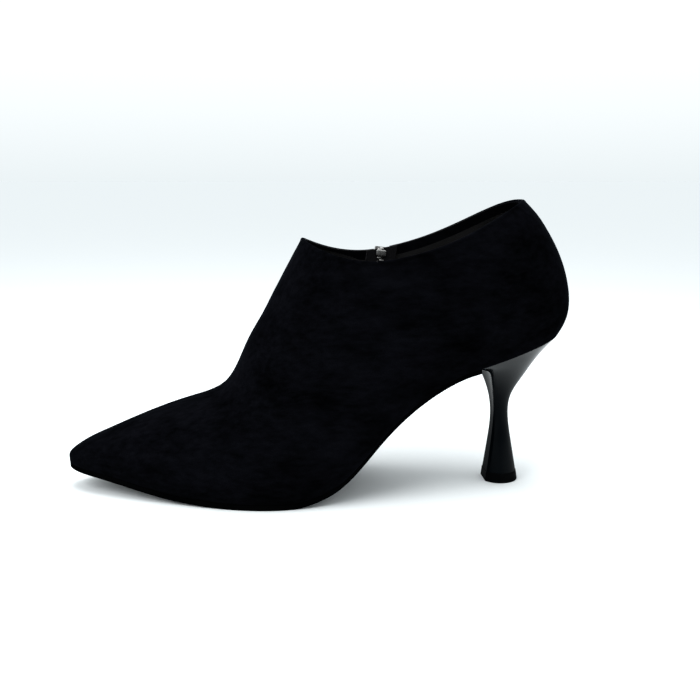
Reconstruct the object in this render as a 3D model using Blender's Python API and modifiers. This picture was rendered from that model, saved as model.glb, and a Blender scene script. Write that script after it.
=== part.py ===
"""Left ankle boot with a pointed toe, a dipped collar, an inner side zip and a slim flared heel.

The boot stands empty on z = 0, its toe towards -X and its outer side towards -Y. All shapes are worked
out in millimetres, with stations counted along the boot from the toe tip, and placed in metres with the
origin under the middle of the boot's box.
"""

import math

import bmesh
import bpy
import numpy as np
from mathutils import Matrix, Vector

MM = 0.001

# Driving dimensions of the last and of its materials, in mm
LENGTH = 234.7
BALL_WIDTH = 78.0
INSTEP_HEIGHT = 116.4
HEEL_HEIGHT = 69.3
WALL = 1.8
SOLE_THICKNESS = 2.2
INSOLE_THICKNESS = 1.5
TIP_HEIGHT = 4.7
GAP = 0.3

# One row for each section of the last, from the toe over the heel seat to the collar. A section is a pair
# of half rings that leave the ridge, pass the widest point of each side and meet on the bottom line, which
# turns up behind the heel seat to become the back seam. Columns that end in _along are percent of LENGTH;
# ridge_up and side_up are percent of INSTEP_HEIGHT and end_up of HEEL_HEIGHT; the side and under columns and
# swing are percent of half of BALL_WIDTH. crown is the roundness of the ridge.
# bow, percent of INSTEP_HEIGHT, raises a ring between its side and the back seam.
SECTION_COLUMNS = ("ridge_along", "ridge_up", "side_along", "side_up", "side_outer", "side_inner",
                   "under_outer", "under_inner", "end_along", "end_up", "swing", "crown", "bow")
SECTIONS = {
    "toe tip":    (0.0, 13.0, 0.0, 12.0, 0.0, 0.0, 0.0, 0.0, 0.3, 8.0, 10.0, 0.60, 0.0),
    "toe":        (2.0, 17.3, 1.5, 13.1, 17.5, 17.5, 12.0, 12.0, 1.4, 7.2, 10.0, 0.60, 0.0),
    "toe end":    (6.9, 22.4, 6.4, 13.7, 37.5, 37.0, 31.0, 30.0, 6.0, 5.0, 9.5, 0.56, 0.0),
    "toe box":    (15.4, 29.8, 15.3, 13.3, 60.5, 59.5, 56.0, 54.0, 15.0, -1.0, 7.5, 0.52, 0.0),
    "vamp":       (23.0, 35.4, 24.3, 12.9, 80.5, 78.5, 80.0, 78.0, 24.5, -6.5, 5.5, 0.50, 0.0),
    "joints":     (28.3, 38.8, 33.2, 13.3, 95.5, 95.0, 101.0, 97.0, 33.8, -8.5, 4.0, 0.46, 0.0),
    "throat":     (32.2, 44.2, 40.5, 16.3, 100.5, 97.5, 111.0, 100.0, 41.8, -8.5, 2.5, 0.44, 0.0),
    "shaft":      (35.8, 58.1, 47.7, 28.4, 95.5, 89.5, 114.0, 92.0, 51.1, -2.6, 1.5, 0.44, 0.0),
    "instep":     (39.1, 70.0, 53.1, 44.5, 88.5, 84.5, 112.0, 80.0, 61.6, 30.0, 1.0, 0.46, 0.0),
    "waist":      (41.4, 78.8, 57.2, 59.0, 84.5, 82.5, 97.0, 72.0, 72.2, 60.4, 0.5, 0.48, 0.0),
    "seat front": (42.5, 82.9, 59.7, 68.0, 82.5, 82.0, 84.0, 76.0, 83.5, 77.0, 0.0, 0.51, 0.0),
    "seat":       (43.5, 86.7, 60.9, 73.3, 82.0, 82.0, 72.0, 69.0, 91.0, 84.0, 0.0, 0.53, 0.0),
    "seat back":  (44.2, 89.3, 61.6, 77.0, 82.0, 82.0, 64.0, 63.0, 94.8, 91.2, 0.0, 0.54, 0.0),
    "heel turn":  (44.8, 91.5, 62.1, 80.0, 82.0, 82.0, 60.0, 60.0, 98.2, 104.6, 0.0, 0.55, 0.0),
    "counter":    (45.3, 93.4, 62.4, 82.8, 82.0, 82.0, 59.0, 59.0, 99.65, 115.6, 0.0, 0.55, 0.2),
    "heel cup":   (45.8, 95.2, 62.6, 85.8, 82.0, 82.0, 58.0, 58.0, 99.3, 139.4, 0.0, 0.55, 0.5),
    "ankle":      (46.4, 97.4, 62.8, 89.2, 82.0, 82.0, 56.0, 56.0, 96.5, 163.6, 0.0, 0.55, 1.0),
    "collar":     (47.1, 100.0, 63.1, 93.5, 82.0, 82.0, 54.0, 54.0, 91.0, 191.3, 0.0, 0.55, 1.7),
}

# Feather edge seen from the side, where the upper meets its sole: percent of LENGTH, then percent of
# HEEL_HEIGHT. Behind the last row the heel seat rises to HEEL_HEIGHT at SEAT_BACK
# and curves up over that line by SEAT_CURVE of the square of the distance, in millimetres.
FEATHER = ((0.0, 17.8), (9.4, 13.8), (21.3, 6.6), (34.1, 3.4), (44.7, 3.4), (50.3, 8.3), (55.4, 18.3),
           (61.3, 41.2), (68.2, 63.8), (74.1, 77.6), (79.3, 85.1))
SEAT_BACK = 96.7
SEAT_CURVE = 0.0009

# Divisions of the wall between one row and the next, and across each quarter of a ring
ROW_STEPS = (4, 3, 3, 3, 3, 3, 4, 4, 4, 4, 4, 3, 3, 3, 3, 3, 3)
QUARTER_STEPS = 7
TRIM_STEPS = 400
CLOSING_STEPS = 4000
# Rings about the one that closes on the back seam, in shares of their spread
CLOSING_SPREAD = 6.0
CLOSING_RINGS = (-0.9, -0.55, -0.28, -0.1, 0.0, 0.35, 0.8)
# Handle of a quarter arc, as a share of its reach
ROUND = 0.5523
BOW_PEAK = 0.6 ** 3 * 0.4 ** 2
# Roll of the collar's back over its last mm: travel that it takes, then shift of the rim in mm
ROLL_TRAVEL = 8.0
ROLL_SHIFT = np.array([-2.6, 0.0, 0.8])

# How far the sole's rim stands out from the feather edge: percent of LENGTH, then mm. It is drawn in under
# the toe tip and at the waist.
SOLE_LIP = ((0.0, -0.7), (3.0, -0.1), (15.0, 0.6), (46.0, 0.7), (62.0, -1.2), (80.0, -1.2))
SOLE_ACROSS = 6
SOLE_ALONG = 33
INSOLE_INSET = 1.4 * WALL + GAP
# Depth of the hollow in the front of the heel's seat, filled by the tongue of the sole
SEAT_SCOOP = 9.0
TONGUE_STEPS = 3

# One row for each level of the heel below its seat. front and back are stations and up is a height, mm;
# corner is the angle, counted from the back, at which the round side meets the breast.
HEEL_COLUMNS = ("front", "front_up", "back", "back_up", "half_width", "corner", "scoop")
HEEL_LEVELS = {
    "wing":  (191.5, 57.8, 222.7, 63.8, 21.0, 90.0, 5.5),
    "cup":   (196.4, 52.0, 215.8, 53.7, 13.6, 97.0, 2.6),
    "neck":  (199.2, 43.0, 209.6, 43.4, 7.2, 116.0, 0.8),
    "waist": (200.3, 34.0, 208.0, 34.0, 5.0, 134.0, 0.2),
    "shin":  (199.5, 20.0, 209.8, 20.0, 6.3, 145.0, 0.0),
    "base":  (197.7, TIP_HEIGHT + GAP, 212.6, TIP_HEIGHT + GAP, 8.2, 145.0, 0.0),
}
TIP_TOP = (197.5, 212.8, 8.4)
TIP_FOOT = (197.0, 213.6, 8.8)
HEEL_ARC_STEPS = 26
BREAST_STEPS = 8
LEVEL_STEPS = 3

# Zip on the inner side: its line from the collar down, then the widths of its layers, mm
ZIP_TOP = (150.0, 109.0)
ZIP_FOOT = (141.0, 42.0)
SLOT_WIDTH = 7.6
TAPE_WIDTH = 15.0
TAPE_THICKNESS = 0.8
CHAIN_WIDTH = 4.2
CHAIN_RECESS = 0.5
CHAIN_THICKNESS = WALL - CHAIN_RECESS
TAPE_END = 5.0
RIM_CLEARANCE = 2.0
ZIP_PATCH = (0.24, 0.86)
PATCH_STEPS = 14
# Depth in y at which the inner side is sure to have begun, mm, and the round end of the slot
INNER_FROM = 10.0
FOOT_TURN = math.radians(75)
FOOT_STEPS = 11
SEARCH_ROUNDS = 4
SEARCH_STEPS = 40

# Slider, mm: across, along the zip, and heights over the wall's outer face
SLIDER_FROM_TOP = 3.6
SLIDER_ACROSS = 6.6
SLIDER_LENGTH = 8.4
SLIDER_TOP = 1.0
CROWN_ACROSS = 1.5
CROWN_LENGTH = 5.8
CROWN_RISE = 3.1
CROWN_BAR = 0.9
CROWN_POST = 1.0
PIN_UP = 2.1
PIN_ALONG = 0.6
PULL_THICKNESS = 1.2
PULL_TOP_WIDTH = 4.8
PULL_FOOT_WIDTH = 5.8
PULL_LENGTH = 21.0
PULL_WINDOW = (2.1, 3.8)
PULL_HOLE = (1.1, 17.2)
FOOT_BEVEL = 1.5
HOLE_STEPS = 12

# Base colour, roughness and metallic of each material
FINISHES = {
    "black suede": ((0.010, 0.010, 0.012), 0.95, 0.0),
    "black lacquer": ((0.006, 0.006, 0.007), 0.12, 0.0),
    "black rubber": ((0.012, 0.012, 0.012), 0.7, 0.0),
    "black sole leather": ((0.018, 0.017, 0.017), 0.55, 0.0),
    "grey sock lining": ((0.045, 0.043, 0.042), 0.8, 0.0),
    "black zip tape": ((0.010, 0.010, 0.012), 0.85, 0.0),
    "zip teeth": ((0.72, 0.72, 0.70), 0.3, 1.0),
    "zip slider": ((0.72, 0.72, 0.70), 0.25, 1.0),
    "zip pull": ((0.72, 0.72, 0.70), 0.25, 1.0),
}
# Points closer than this are one, mm; edges that turn by more than this are sharp, degrees
WELD = 0.01
SHARP = 40.0


def clear_scene():
    """Remove every object, so that the boot is the scene's only content."""
    for thing in list(bpy.data.objects):
        bpy.data.objects.remove(thing, do_unlink=True)


def cubic(knots, values, at, start=None, end=None):
    """Cubic spline through values at knots, read at the places at; an end is natural unless given a slope.

    values may have more than one axis, the first of which follows the knots. Between two knots the curve is
    (m0 left^3 + m1 past^3) / 6h + (y0 / h - m0 h / 6) left + (y1 / h - m1 h / 6) past, with m the bends.
    """
    x = np.asarray(knots, float)
    y = np.asarray(values, float)
    flat = y.reshape(len(x), -1)
    step = np.diff(x)
    rise = np.diff(flat, axis=0) / step[:, None]
    system = np.eye(len(x))
    known = np.zeros_like(flat)
    for i in range(1, len(x) - 1):
        system[i, i - 1:i + 2] = step[i - 1], 2 * (step[i - 1] + step[i]), step[i]
        known[i] = 6 * (rise[i] - rise[i - 1])
    if start is not None:
        system[0, :2] = 2 * step[0], step[0]
        known[0] = 6 * (rise[0] - start)
    if end is not None:
        system[-1, -2:] = step[-1], 2 * step[-1]
        known[-1] = 6 * (end - rise[-1])
    bend = np.linalg.solve(system, known)
    place = np.asarray(at, float)
    i = np.clip(np.searchsorted(x, place) - 1, 0, len(x) - 2)
    past = (place - x[i])[..., None]
    left = (x[i + 1] - place)[..., None]
    h = step[i][..., None]
    curve = (bend[i] * left ** 3 + bend[i + 1] * past ** 3) / (6 * h)
    curve += (flat[i] / h - bend[i] * h / 6) * left
    curve += (flat[i + 1] / h - bend[i + 1] * h / 6) * past
    return curve.reshape(place.shape + y.shape[1:])


SEAT_FRONT = FEATHER[-1][0] / 100 * LENGTH
SEAT_SLOPE = (100 - FEATHER[-1][1]) / 100 * HEEL_HEIGHT / (SEAT_BACK / 100 * LENGTH - SEAT_FRONT)
TREAD_UP = SOLE_THICKNESS + GAP


def feather_up(along):
    """Height of the feather edge at a station: flat over the tread, curving up over the heel seat."""
    stations, heights = np.array(FEATHER).T
    along = np.asarray(along, float)
    ahead = np.minimum(along, SEAT_FRONT)
    curve = cubic(stations / 100 * LENGTH, heights / 100 * HEEL_HEIGHT, ahead, end=SEAT_SLOPE)
    past = np.maximum(along - SEAT_FRONT, 0)
    return np.maximum(curve, TREAD_UP) + SEAT_SLOPE * past + SEAT_CURVE * past ** 2


def last_rows():
    """Columns of the sections in mm, as a dictionary of arrays."""
    width = BALL_WIDTH / 200
    scale = dict.fromkeys(SECTION_COLUMNS, width)
    scale.update(dict.fromkeys(("ridge_along", "side_along", "end_along"), LENGTH / 100))
    scale.update(dict.fromkeys(("ridge_up", "side_up", "bow"), INSTEP_HEIGHT / 100))
    scale.update(end_up=HEEL_HEIGHT / 100, crown=1.0)
    table = np.array(list(SECTIONS.values()))
    return {name: table[:, i] * scale[name] for i, name in enumerate(SECTION_COLUMNS)}


ROWS = last_rows()


def row_knots():
    """Place of each row along the last: the mean travel of its ridge, side and end points."""
    track = np.stack([ROWS[name] for name in ("ridge_along", "ridge_up", "side_along", "side_up",
                                              "side_outer", "end_along", "end_up")], axis=-1)
    travel = np.sqrt((np.diff(track, axis=0) ** 2).sum(axis=1) / 2)
    return np.append(0.0, np.cumsum(travel))


KNOTS = row_knots()


def quarter(a, b, c, d, t):
    """Cubic arc from a to d with handles b and c."""
    return (1 - t) ** 3 * a + 3 * (1 - t) ** 2 * t * b + 3 * (1 - t) * t ** 2 * c + t ** 3 * d


def last_surface(u, v):
    """Outer face of the upper at place u along the last and v around it.

    v runs from -1 at the bottom line over the outer side, 0 at the ridge and the inner side to 1 at the
    bottom line again. Each half is two quarter arcs, from the ridge to the widest point of the side and
    from there to the end. The stations start with no slope, which rounds the toe.
    """
    u, v = np.broadcast_arrays(np.asarray(u, float), np.asarray(v, float))
    row = {name: cubic(KNOTS, ROWS[name], u, start=0.0 if name.endswith("_along") else None)
           for name in SECTION_COLUMNS}
    hand = np.where(v < 0, -1.0, 1.0)
    out = np.where(v < 0, row["side_outer"], row["side_inner"])
    under = np.where(v < 0, row["under_outer"], row["under_inner"])
    zero = np.zeros_like(u)
    ridge = np.stack([row["ridge_along"], row["swing"], row["ridge_up"]], axis=-1)
    side = np.stack([row["side_along"], row["swing"] + hand * out, row["side_up"]], axis=-1)
    end = np.stack([row["end_along"], row["swing"], row["end_up"]], axis=-1)
    rolled = np.maximum((u - KNOTS[-1]) / ROLL_TRAVEL + 1, 0) ** 2
    end = end + rolled[..., None] * ROLL_SHIFT
    fall = (end - ridge) / np.linalg.norm(end - ridge, axis=-1, keepdims=True)
    flat = np.array([1.0, 0.0, 1.0])
    above = ROUND * np.linalg.norm((side - ridge) * flat, axis=-1, keepdims=True)
    below = ROUND * np.linalg.norm((end - side) * flat, axis=-1, keepdims=True)
    over = np.stack([zero, hand * row["crown"] * out, zero], axis=-1)
    beneath = np.stack([zero, hand * under, zero], axis=-1)
    turn = np.abs(v)[..., None]
    top = quarter(ridge, ridge + over, side - above * fall, side, np.clip(2 * turn, 0, 1))
    lower = np.clip(2 * turn - 1, 0, 1)
    low = quarter(side, side + below * fall, end + beneath, end, lower)
    low += np.stack([zero, zero, row["bow"]], axis=-1) * lower ** 3 * (1 - lower) ** 2 / BOW_PEAK
    return np.where(turn <= 0.5, top, low)


def wall_normal(u, v, step=0.01):
    """Unit outward normal of the last's surface, from differences over a small step."""
    along = last_surface(u + step, v) - last_surface(u - step, v)
    around = last_surface(u, v + step) - last_surface(u, v - step)
    normal = np.cross(along, around)
    return normal / np.linalg.norm(normal, axis=-1, keepdims=True)


def feather_turn(u, hand):
    """How far around the last each ring meets the feather edge: 1 where it closes on the back seam."""
    v = np.linspace(0.5, 1.0, TRIM_STEPS)
    points = last_surface(u[:, None], hand * v[None, :])
    over = points[..., 2] - feather_up(points[..., 0])
    i = np.arange(len(u))
    j = np.clip((over > 0).sum(axis=1), 1, TRIM_STEPS - 1)
    share = np.clip(over[i, j - 1] / (over[i, j - 1] - over[i, j]), 0, 1)
    return np.where(over.min(axis=1) >= 0, 1.0, v[j - 1] + share * (v[1] - v[0]))


def closing_place():
    """Place of the ring whose end on the bottom line comes up to the heel seat."""
    places = np.linspace(0, KNOTS[-1], CLOSING_STEPS)
    ends = cubic(KNOTS, np.column_stack([ROWS["end_along"], ROWS["end_up"]]), places)
    return places[np.argmax(ends[:, 1] > feather_up(ends[:, 0]))]


CLOSING = closing_place()


def row_places():
    """Places of the wall's rings: each span between two rows evenly divided, closer near the seat's back."""
    spans = [np.linspace(KNOTS[i], KNOTS[i + 1], n, endpoint=False) for i, n in enumerate(ROW_STEPS)]
    places = np.append(np.concatenate(spans), KNOTS[-1])
    near = np.abs(places - CLOSING) < CLOSING_SPREAD
    return np.sort(np.concatenate([places[~near], CLOSING + CLOSING_SPREAD * np.array(CLOSING_RINGS)]))


def wall_grid():
    """Grid over the last above its feather edge, ring by ring from the toe to the collar."""
    u = row_places()
    share = np.linspace(0, 1, 2 * QUARTER_STEPS + 1)
    outer = -feather_turn(u, -1)[:, None] * share[::-1]
    inner = feather_turn(u, 1)[:, None] * share[1:]
    return last_surface(u[:, None], np.concatenate([outer, inner], axis=1))


WALL_GRID = wall_grid()
MIDDLE = np.array([(WALL_GRID[..., i].min() + WALL_GRID[..., i].max()) / 2 for i in (0, 1)] + [0.0])


def placed(points):
    """Points in mm from the toe tip, as metres about the boot's origin."""
    return (np.asarray(points, float) - MIDDLE) * MM


def finish(name):
    """Principled material of one piece, from the table of finishes."""
    colour, roughness, metallic = FINISHES[name]
    material = bpy.data.materials.new(name)
    material.use_nodes = True
    shader = material.node_tree.nodes["Principled BSDF"]
    shader.inputs["Base Color"].default_value = (*colour, 1.0)
    shader.inputs["Roughness"].default_value = roughness
    shader.inputs["Metallic"].default_value = metallic
    return material


def mesh_piece(name, bm, collection, material=None):
    """Object from a bmesh, welded and shaded smooth up to sharp edges."""
    bmesh.ops.remove_doubles(bm, verts=bm.verts, dist=WELD * MM)
    mesh = bpy.data.meshes.new(name)
    bm.to_mesh(mesh)
    bm.free()
    mesh.shade_smooth()
    mesh.set_sharp_from_angle(angle=math.radians(SHARP))
    piece = bpy.data.objects.new(name, mesh)
    collection.objects.link(piece)
    if material is not None:
        mesh.materials.append(material)
    return piece


def grid_bmesh(points):
    """Sheet of quads over a grid of points in mm, welded where neighbours coincide."""
    rows, columns = points.shape[:2]
    bm = bmesh.new()
    verts = [bm.verts.new(p) for p in placed(points).reshape(-1, 3)]
    for i in range(rows - 1):
        for j in range(columns - 1):
            corner = i * columns + j
            bm.faces.new([verts[corner], verts[corner + columns], verts[corner + columns + 1],
                          verts[corner + 1]])
    bmesh.ops.remove_doubles(bm, verts=bm.verts, dist=WELD * MM)
    return bm


def loft(loops):
    """Closed body through loops of equal length, capped at both ends."""
    bm = bmesh.new()
    rings = [[bm.verts.new(p) for p in placed(loop)] for loop in loops]
    count = len(rings[0])
    for upper, lower in zip(rings[:-1], rings[1:]):
        for j in range(count):
            k = (j + 1) % count
            bm.faces.new([upper[j], lower[j], lower[k], upper[k]])
    bm.faces.new(rings[0])
    bm.faces.new(rings[-1][::-1])
    bmesh.ops.recalc_face_normals(bm, faces=bm.faces)
    return bm


def solidify(piece, thickness, offset=-1.0):
    """Give an open sheet its thickness; offset -1 grows it away from its normals."""
    shell = piece.modifiers.new("thickness", "SOLIDIFY")
    shell.thickness = thickness * MM
    shell.offset = offset
    return shell


def combine(piece, tool, operation):
    """Boolean of a piece with a hidden tool object."""
    cut = piece.modifiers.new(tool.name, "BOOLEAN")
    cut.operation = operation
    cut.solver = "EXACT"
    cut.object = tool
    return cut


def zip_axes():
    """Unit vectors of the zip's line, down it and across it, in the side view."""
    down = np.array([ZIP_FOOT[0] - ZIP_TOP[0], 0.0, ZIP_FOOT[1] - ZIP_TOP[1]])
    length = np.linalg.norm(down)
    down = down / length
    across = np.array([-down[2], 0.0, down[0]])
    return down, across, length


def prism(name, corners, low, high, collection):
    """Hidden bar with a side-view outline of (station, height) corners, between two depths in y."""
    ends = [[(s, depth, z) for s, z in corners] for depth in (low, high)]
    bar = mesh_piece(name, loft(ends), collection)
    bar.hide_render = True
    bar.display_type = "WIRE"
    return bar


def zip_slab(name, width, start, stop, collection, round_foot=False):
    """Bar that runs across the inner side along the zip, from start to stop mm below its top."""
    down, across, _ = zip_axes()
    corners = [(start, -width / 2), (stop, -width / 2)]
    if round_foot:
        turns = np.linspace(-FOOT_TURN, FOOT_TURN, FOOT_STEPS)
        corners += [(stop + width / 2 * math.cos(t), width / 2 * math.sin(t)) for t in turns]
    corners += [(stop, width / 2), (start, width / 2)]
    outline = [np.array(ZIP_TOP) + a * down[[0, 2]] + b * across[[0, 2]] for a, b in corners]
    return prism(name, outline, INNER_FROM, BALL_WIDTH, collection)


def build_upper(parts, tools):
    """One wall over the last, open at the collar, underneath and along the zip."""
    material = finish("black suede")
    upper = mesh_piece("upper", grid_bmesh(WALL_GRID), parts, material)
    solidify(upper, WALL)
    length = zip_axes()[2]
    slot = zip_slab("zip slot", SLOT_WIDTH, -SLOT_WIDTH, length, tools, round_foot=True)
    combine(upper, slot, "DIFFERENCE")
    return upper


def feather_edges():
    """Outer and inner feather edges in plan, from the toe to the back of the seat."""
    u = CLOSING * np.sin(np.linspace(0, math.pi / 2, TRIM_STEPS))
    edges = [last_surface(u, hand * feather_turn(u, hand))[:, :2] for hand in (-1, 1)]
    for edge in edges:
        edge[-1, 1] = 0.0
    return edges


def resample(line, count):
    """A plan line's points, evenly spread along it."""
    run = np.append(0.0, np.cumsum(np.linalg.norm(np.diff(line, axis=0), axis=1)))
    places = np.linspace(0, run[-1], count)
    return np.column_stack([np.interp(places, run, line[:, i]) for i in (0, 1)])


OUTER_EDGE, INNER_EDGE = feather_edges()


def moved_out(line, hand, out):
    """A feather edge in plan, moved out along its normals by out mm."""
    run = np.gradient(line, axis=0)
    run = run / np.linalg.norm(run, axis=-1, keepdims=True)
    normal = np.column_stack([-hand * run[:, 1], hand * run[:, 0]])
    return line + normal * np.reshape(out, (-1, 1))


def sheet_between(outer, inner, up):
    """Grid across a pair of plan edges, at the feather's height plus up."""
    share = np.linspace(0, 1, SOLE_ACROSS + 1)[None, :, None]
    plan = outer[:, None, :] * (1 - share) + inner[:, None, :] * share
    return np.concatenate([plan, feather_up(plan[..., :1]) + up], axis=-1)


def sole_lip(along):
    """How far the sole stands out from the feather edge at a station."""
    stations, lips = np.array(SOLE_LIP).T
    return np.interp(along, stations / 100 * LENGTH, lips)


def build_outsole(parts):
    """Thin sole from the toe to the heel, ending in a round tongue that fills the seat's hollow."""
    sides = []
    for hand, edge in ((-1, OUTER_EDGE), (1, INNER_EDGE)):
        line = resample(edge[edge[:, 0] < SEAT_FRONT - GAP], SOLE_ALONG)
        sides.append(moved_out(line, hand, sole_lip(line[:, 0])))
    sheet = sheet_between(*sides, -GAP)
    spread = np.linspace(-1, 1, SOLE_ACROSS + 1)
    reach = SEAT_SCOOP * (1 - spread ** 2)
    tongue = []
    for k in range(1, TONGUE_STEPS + 1):
        row = sheet[-1].copy()
        row[:, 0] += reach * k / TONGUE_STEPS
        row[:, 2] = feather_up(row[:, 0]) - GAP
        tongue.append(row)
    material = finish("black sole leather")
    sole = mesh_piece("outsole", grid_bmesh(np.concatenate([sheet, np.array(tongue)])), parts, material)
    solidify(sole, SOLE_THICKNESS)
    return sole


def build_insole(parts):
    """Flat board inside the walls, from the toe to the back of the seat."""
    sides = [moved_out(resample(edge, SOLE_ALONG), hand, -INSOLE_INSET)
             for hand, edge in ((-1, OUTER_EDGE), (1, INNER_EDGE))]
    material = finish("grey sock lining")
    insole = mesh_piece("insole", grid_bmesh(sheet_between(*sides, 0.0)), parts, material)
    solidify(insole, INSOLE_THICKNESS, offset=1.0)
    return insole


def round_heel_outline(front, back, half_width, corner, scoop):
    """Plan outline of one heel level: a round side, then a breast hollowed by scoop."""
    limit = math.radians(corner)
    turn = np.linspace(-limit, limit, HEEL_ARC_STEPS + 1)
    reach = (back - front) / (1 - math.cos(limit))
    side = np.stack([back - reach * (1 - np.cos(turn)), half_width * np.sin(turn)], axis=-1)
    return np.concatenate([side, breast_line(side[-1], side[0], scoop)])


def breast_line(inner, outer, scoop):
    """Points of the breast between two corners, hollowed towards the back."""
    share = np.linspace(0, 1, BREAST_STEPS + 1)[1:-1, None]
    line = inner * (1 - share) + outer * share
    line[:, 0] += scoop * (1 - (2 * share[:, 0] - 1) ** 2)
    return line


def seat_outline():
    """Plan outline of the heel's top: the feather edge behind the seat's front."""
    outer, inner = (edge[edge[:, 0] >= SEAT_FRONT] for edge in (OUTER_EDGE, INNER_EDGE))
    side = resample(np.concatenate([outer, inner[::-1][1:]]), HEEL_ARC_STEPS + 1)
    return np.concatenate([side, breast_line(side[-1], side[0], SEAT_SCOOP)])


def build_heel(parts):
    """Slim heel: a cup under the seat, a narrow waist and a flared base, with a hollowed breast."""
    seat = seat_outline()
    loops = [np.column_stack([seat, feather_up(seat[:, 0]) - GAP])]
    for row in HEEL_LEVELS.values():
        level = dict(zip(HEEL_COLUMNS, row))
        plan = round_heel_outline(level["front"], level["back"], level["half_width"], level["corner"],
                                  level["scoop"])
        tilt = (level["back_up"] - level["front_up"]) / (level["back"] - level["front"])
        loops.append(np.column_stack([plan, level["front_up"] + tilt * (plan[:, 0] - level["front"])]))
    loops = np.array(loops)
    drop = np.append(0.0, np.cumsum(-np.diff(loops[:, :, 2].mean(axis=1))))
    levels = np.concatenate([np.linspace(a, b, LEVEL_STEPS, endpoint=False)
                             for a, b in zip(drop[:-1], drop[1:])] + [drop[-1:]])
    straight = ((loops[1] - loops[0]) / drop[1]).ravel()
    material = finish("black lacquer")
    return mesh_piece("heel", loft(cubic(drop, loops, levels, start=straight)), parts, material)


def build_heel_tip(parts):
    """Top piece under the heel, flat on the floor."""
    corner = HEEL_LEVELS["base"][HEEL_COLUMNS.index("corner")]
    loops = []
    for (front, back, half_width), up in ((TIP_TOP, TIP_HEIGHT), (TIP_FOOT, 0.0)):
        plan = round_heel_outline(front, back, half_width, corner, 0.0)
        loops.append(np.column_stack([plan, np.full(len(plan), up)]))
    material = finish("black rubber")
    return mesh_piece("heel_tip", loft(loops), parts, material)


def wall_layer(name, depth, thickness, parts, material):
    """Sheet that follows the inner side of the last, from depth mm inside its outer face."""
    places = row_places()
    places = places[places >= KNOTS[list(SECTIONS).index("throat")]][:, None]
    across = np.linspace(*ZIP_PATCH, PATCH_STEPS)[None, :]
    points = last_surface(places, across) - depth * wall_normal(places, across)
    layer = mesh_piece(name, grid_bmesh(points), parts, material)
    solidify(layer, thickness)
    return layer


def build_zip(parts, tools):
    """Tape behind the slot and the row of teeth in it, both cut from layers of the wall."""
    length = zip_axes()[2]
    cloth = finish("black zip tape")
    tape = wall_layer("zip_tape", WALL + GAP, TAPE_THICKNESS, parts, cloth)
    combine(tape, zip_slab("tape width", TAPE_WIDTH, RIM_CLEARANCE, length + TAPE_END, tools), "INTERSECT")
    metal = finish("zip teeth")
    chain = wall_layer("zip_chain", CHAIN_RECESS, CHAIN_THICKNESS, parts, metal)
    combine(chain, zip_slab("chain width", CHAIN_WIDTH, RIM_CLEARANCE, length, tools), "INTERSECT")


def wall_point_at(along, up):
    """Point and outward normal of the inner side of the wall at a station and a height, by closing in."""
    u_range = np.array([KNOTS[list(SECTIONS).index("shaft")], KNOTS[-1]])
    v_range = np.array(ZIP_PATCH)
    for _ in range(SEARCH_ROUNDS):
        u, v = np.meshgrid(np.linspace(*u_range, SEARCH_STEPS), np.linspace(*v_range, SEARCH_STEPS))
        points = last_surface(u, v)
        best = np.hypot(points[..., 0] - along, points[..., 2] - up).argmin()
        u_range = u.flat[best] + np.ptp(u_range) / SEARCH_STEPS * np.array([-1, 1])
        v_range = v.flat[best] + np.ptp(v_range) / SEARCH_STEPS * np.array([-1, 1])
    return points.reshape(-1, 3)[best], wall_normal(u.flat[best], v.flat[best])


def slider_frame():
    """Matrix of the slider's place: across the zip, up it, and out from the wall."""
    down = zip_axes()[0]
    spot = np.array([ZIP_TOP[0], 0.0, ZIP_TOP[1]]) + SLIDER_FROM_TOP * down
    point, out = wall_point_at(spot[0], spot[2])
    rise = -down - np.dot(-down, out) * out
    rise = rise / np.linalg.norm(rise)
    across = np.cross(rise, out)
    frame = Matrix([Vector(across), Vector(rise), Vector(out)]).transposed().to_4x4()
    frame.translation = Vector(placed(point))
    return frame


def block(name, low, high, frame, collection, material=None):
    """Box between two corners, mm in a frame's own axes."""
    bm = bmesh.new()
    bmesh.ops.create_cube(bm, size=1.0)
    low, high = Vector(low) * MM, Vector(high) * MM
    bmesh.ops.scale(bm, vec=high - low, verts=bm.verts)
    bmesh.ops.translate(bm, vec=(low + high) / 2, verts=bm.verts)
    piece = mesh_piece(name, bm, collection, material)
    piece.matrix_world = frame
    return piece


def build_slider(parts, tools, frame):
    """Body that straddles the teeth, with a crown along the zip for the pull."""
    metal = finish("zip slider")
    side = SLIDER_ACROSS / 2
    half = SLIDER_LENGTH / 2
    body = block("zip_slider", (-side, -half, -WALL), (side, half, SLIDER_TOP), frame, parts, metal)
    way = CHAIN_WIDTH / 2 + GAP
    channel = block("slider channel", (-way, -half - 1, -2 * WALL), (way, half + 1, GAP - CHAIN_RECESS),
                    frame, tools)
    bar = CROWN_ACROSS / 2
    post = CROWN_LENGTH / 2
    crown = block("slider crown", (-bar, -post, SLIDER_TOP / 2), (bar, post, SLIDER_TOP + CROWN_RISE),
                  frame, tools)
    eye = block("crown eye", (-side, CROWN_POST - post, SLIDER_TOP),
                (side, post - CROWN_POST, SLIDER_TOP + CROWN_RISE - CROWN_BAR), frame, tools)
    for tool in (channel, crown, eye):
        tool.hide_render = True
        tool.display_type = "WIRE"
    combine(crown, eye, "DIFFERENCE")
    combine(body, channel, "DIFFERENCE")
    combine(body, crown, "UNION")
    return body


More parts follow.
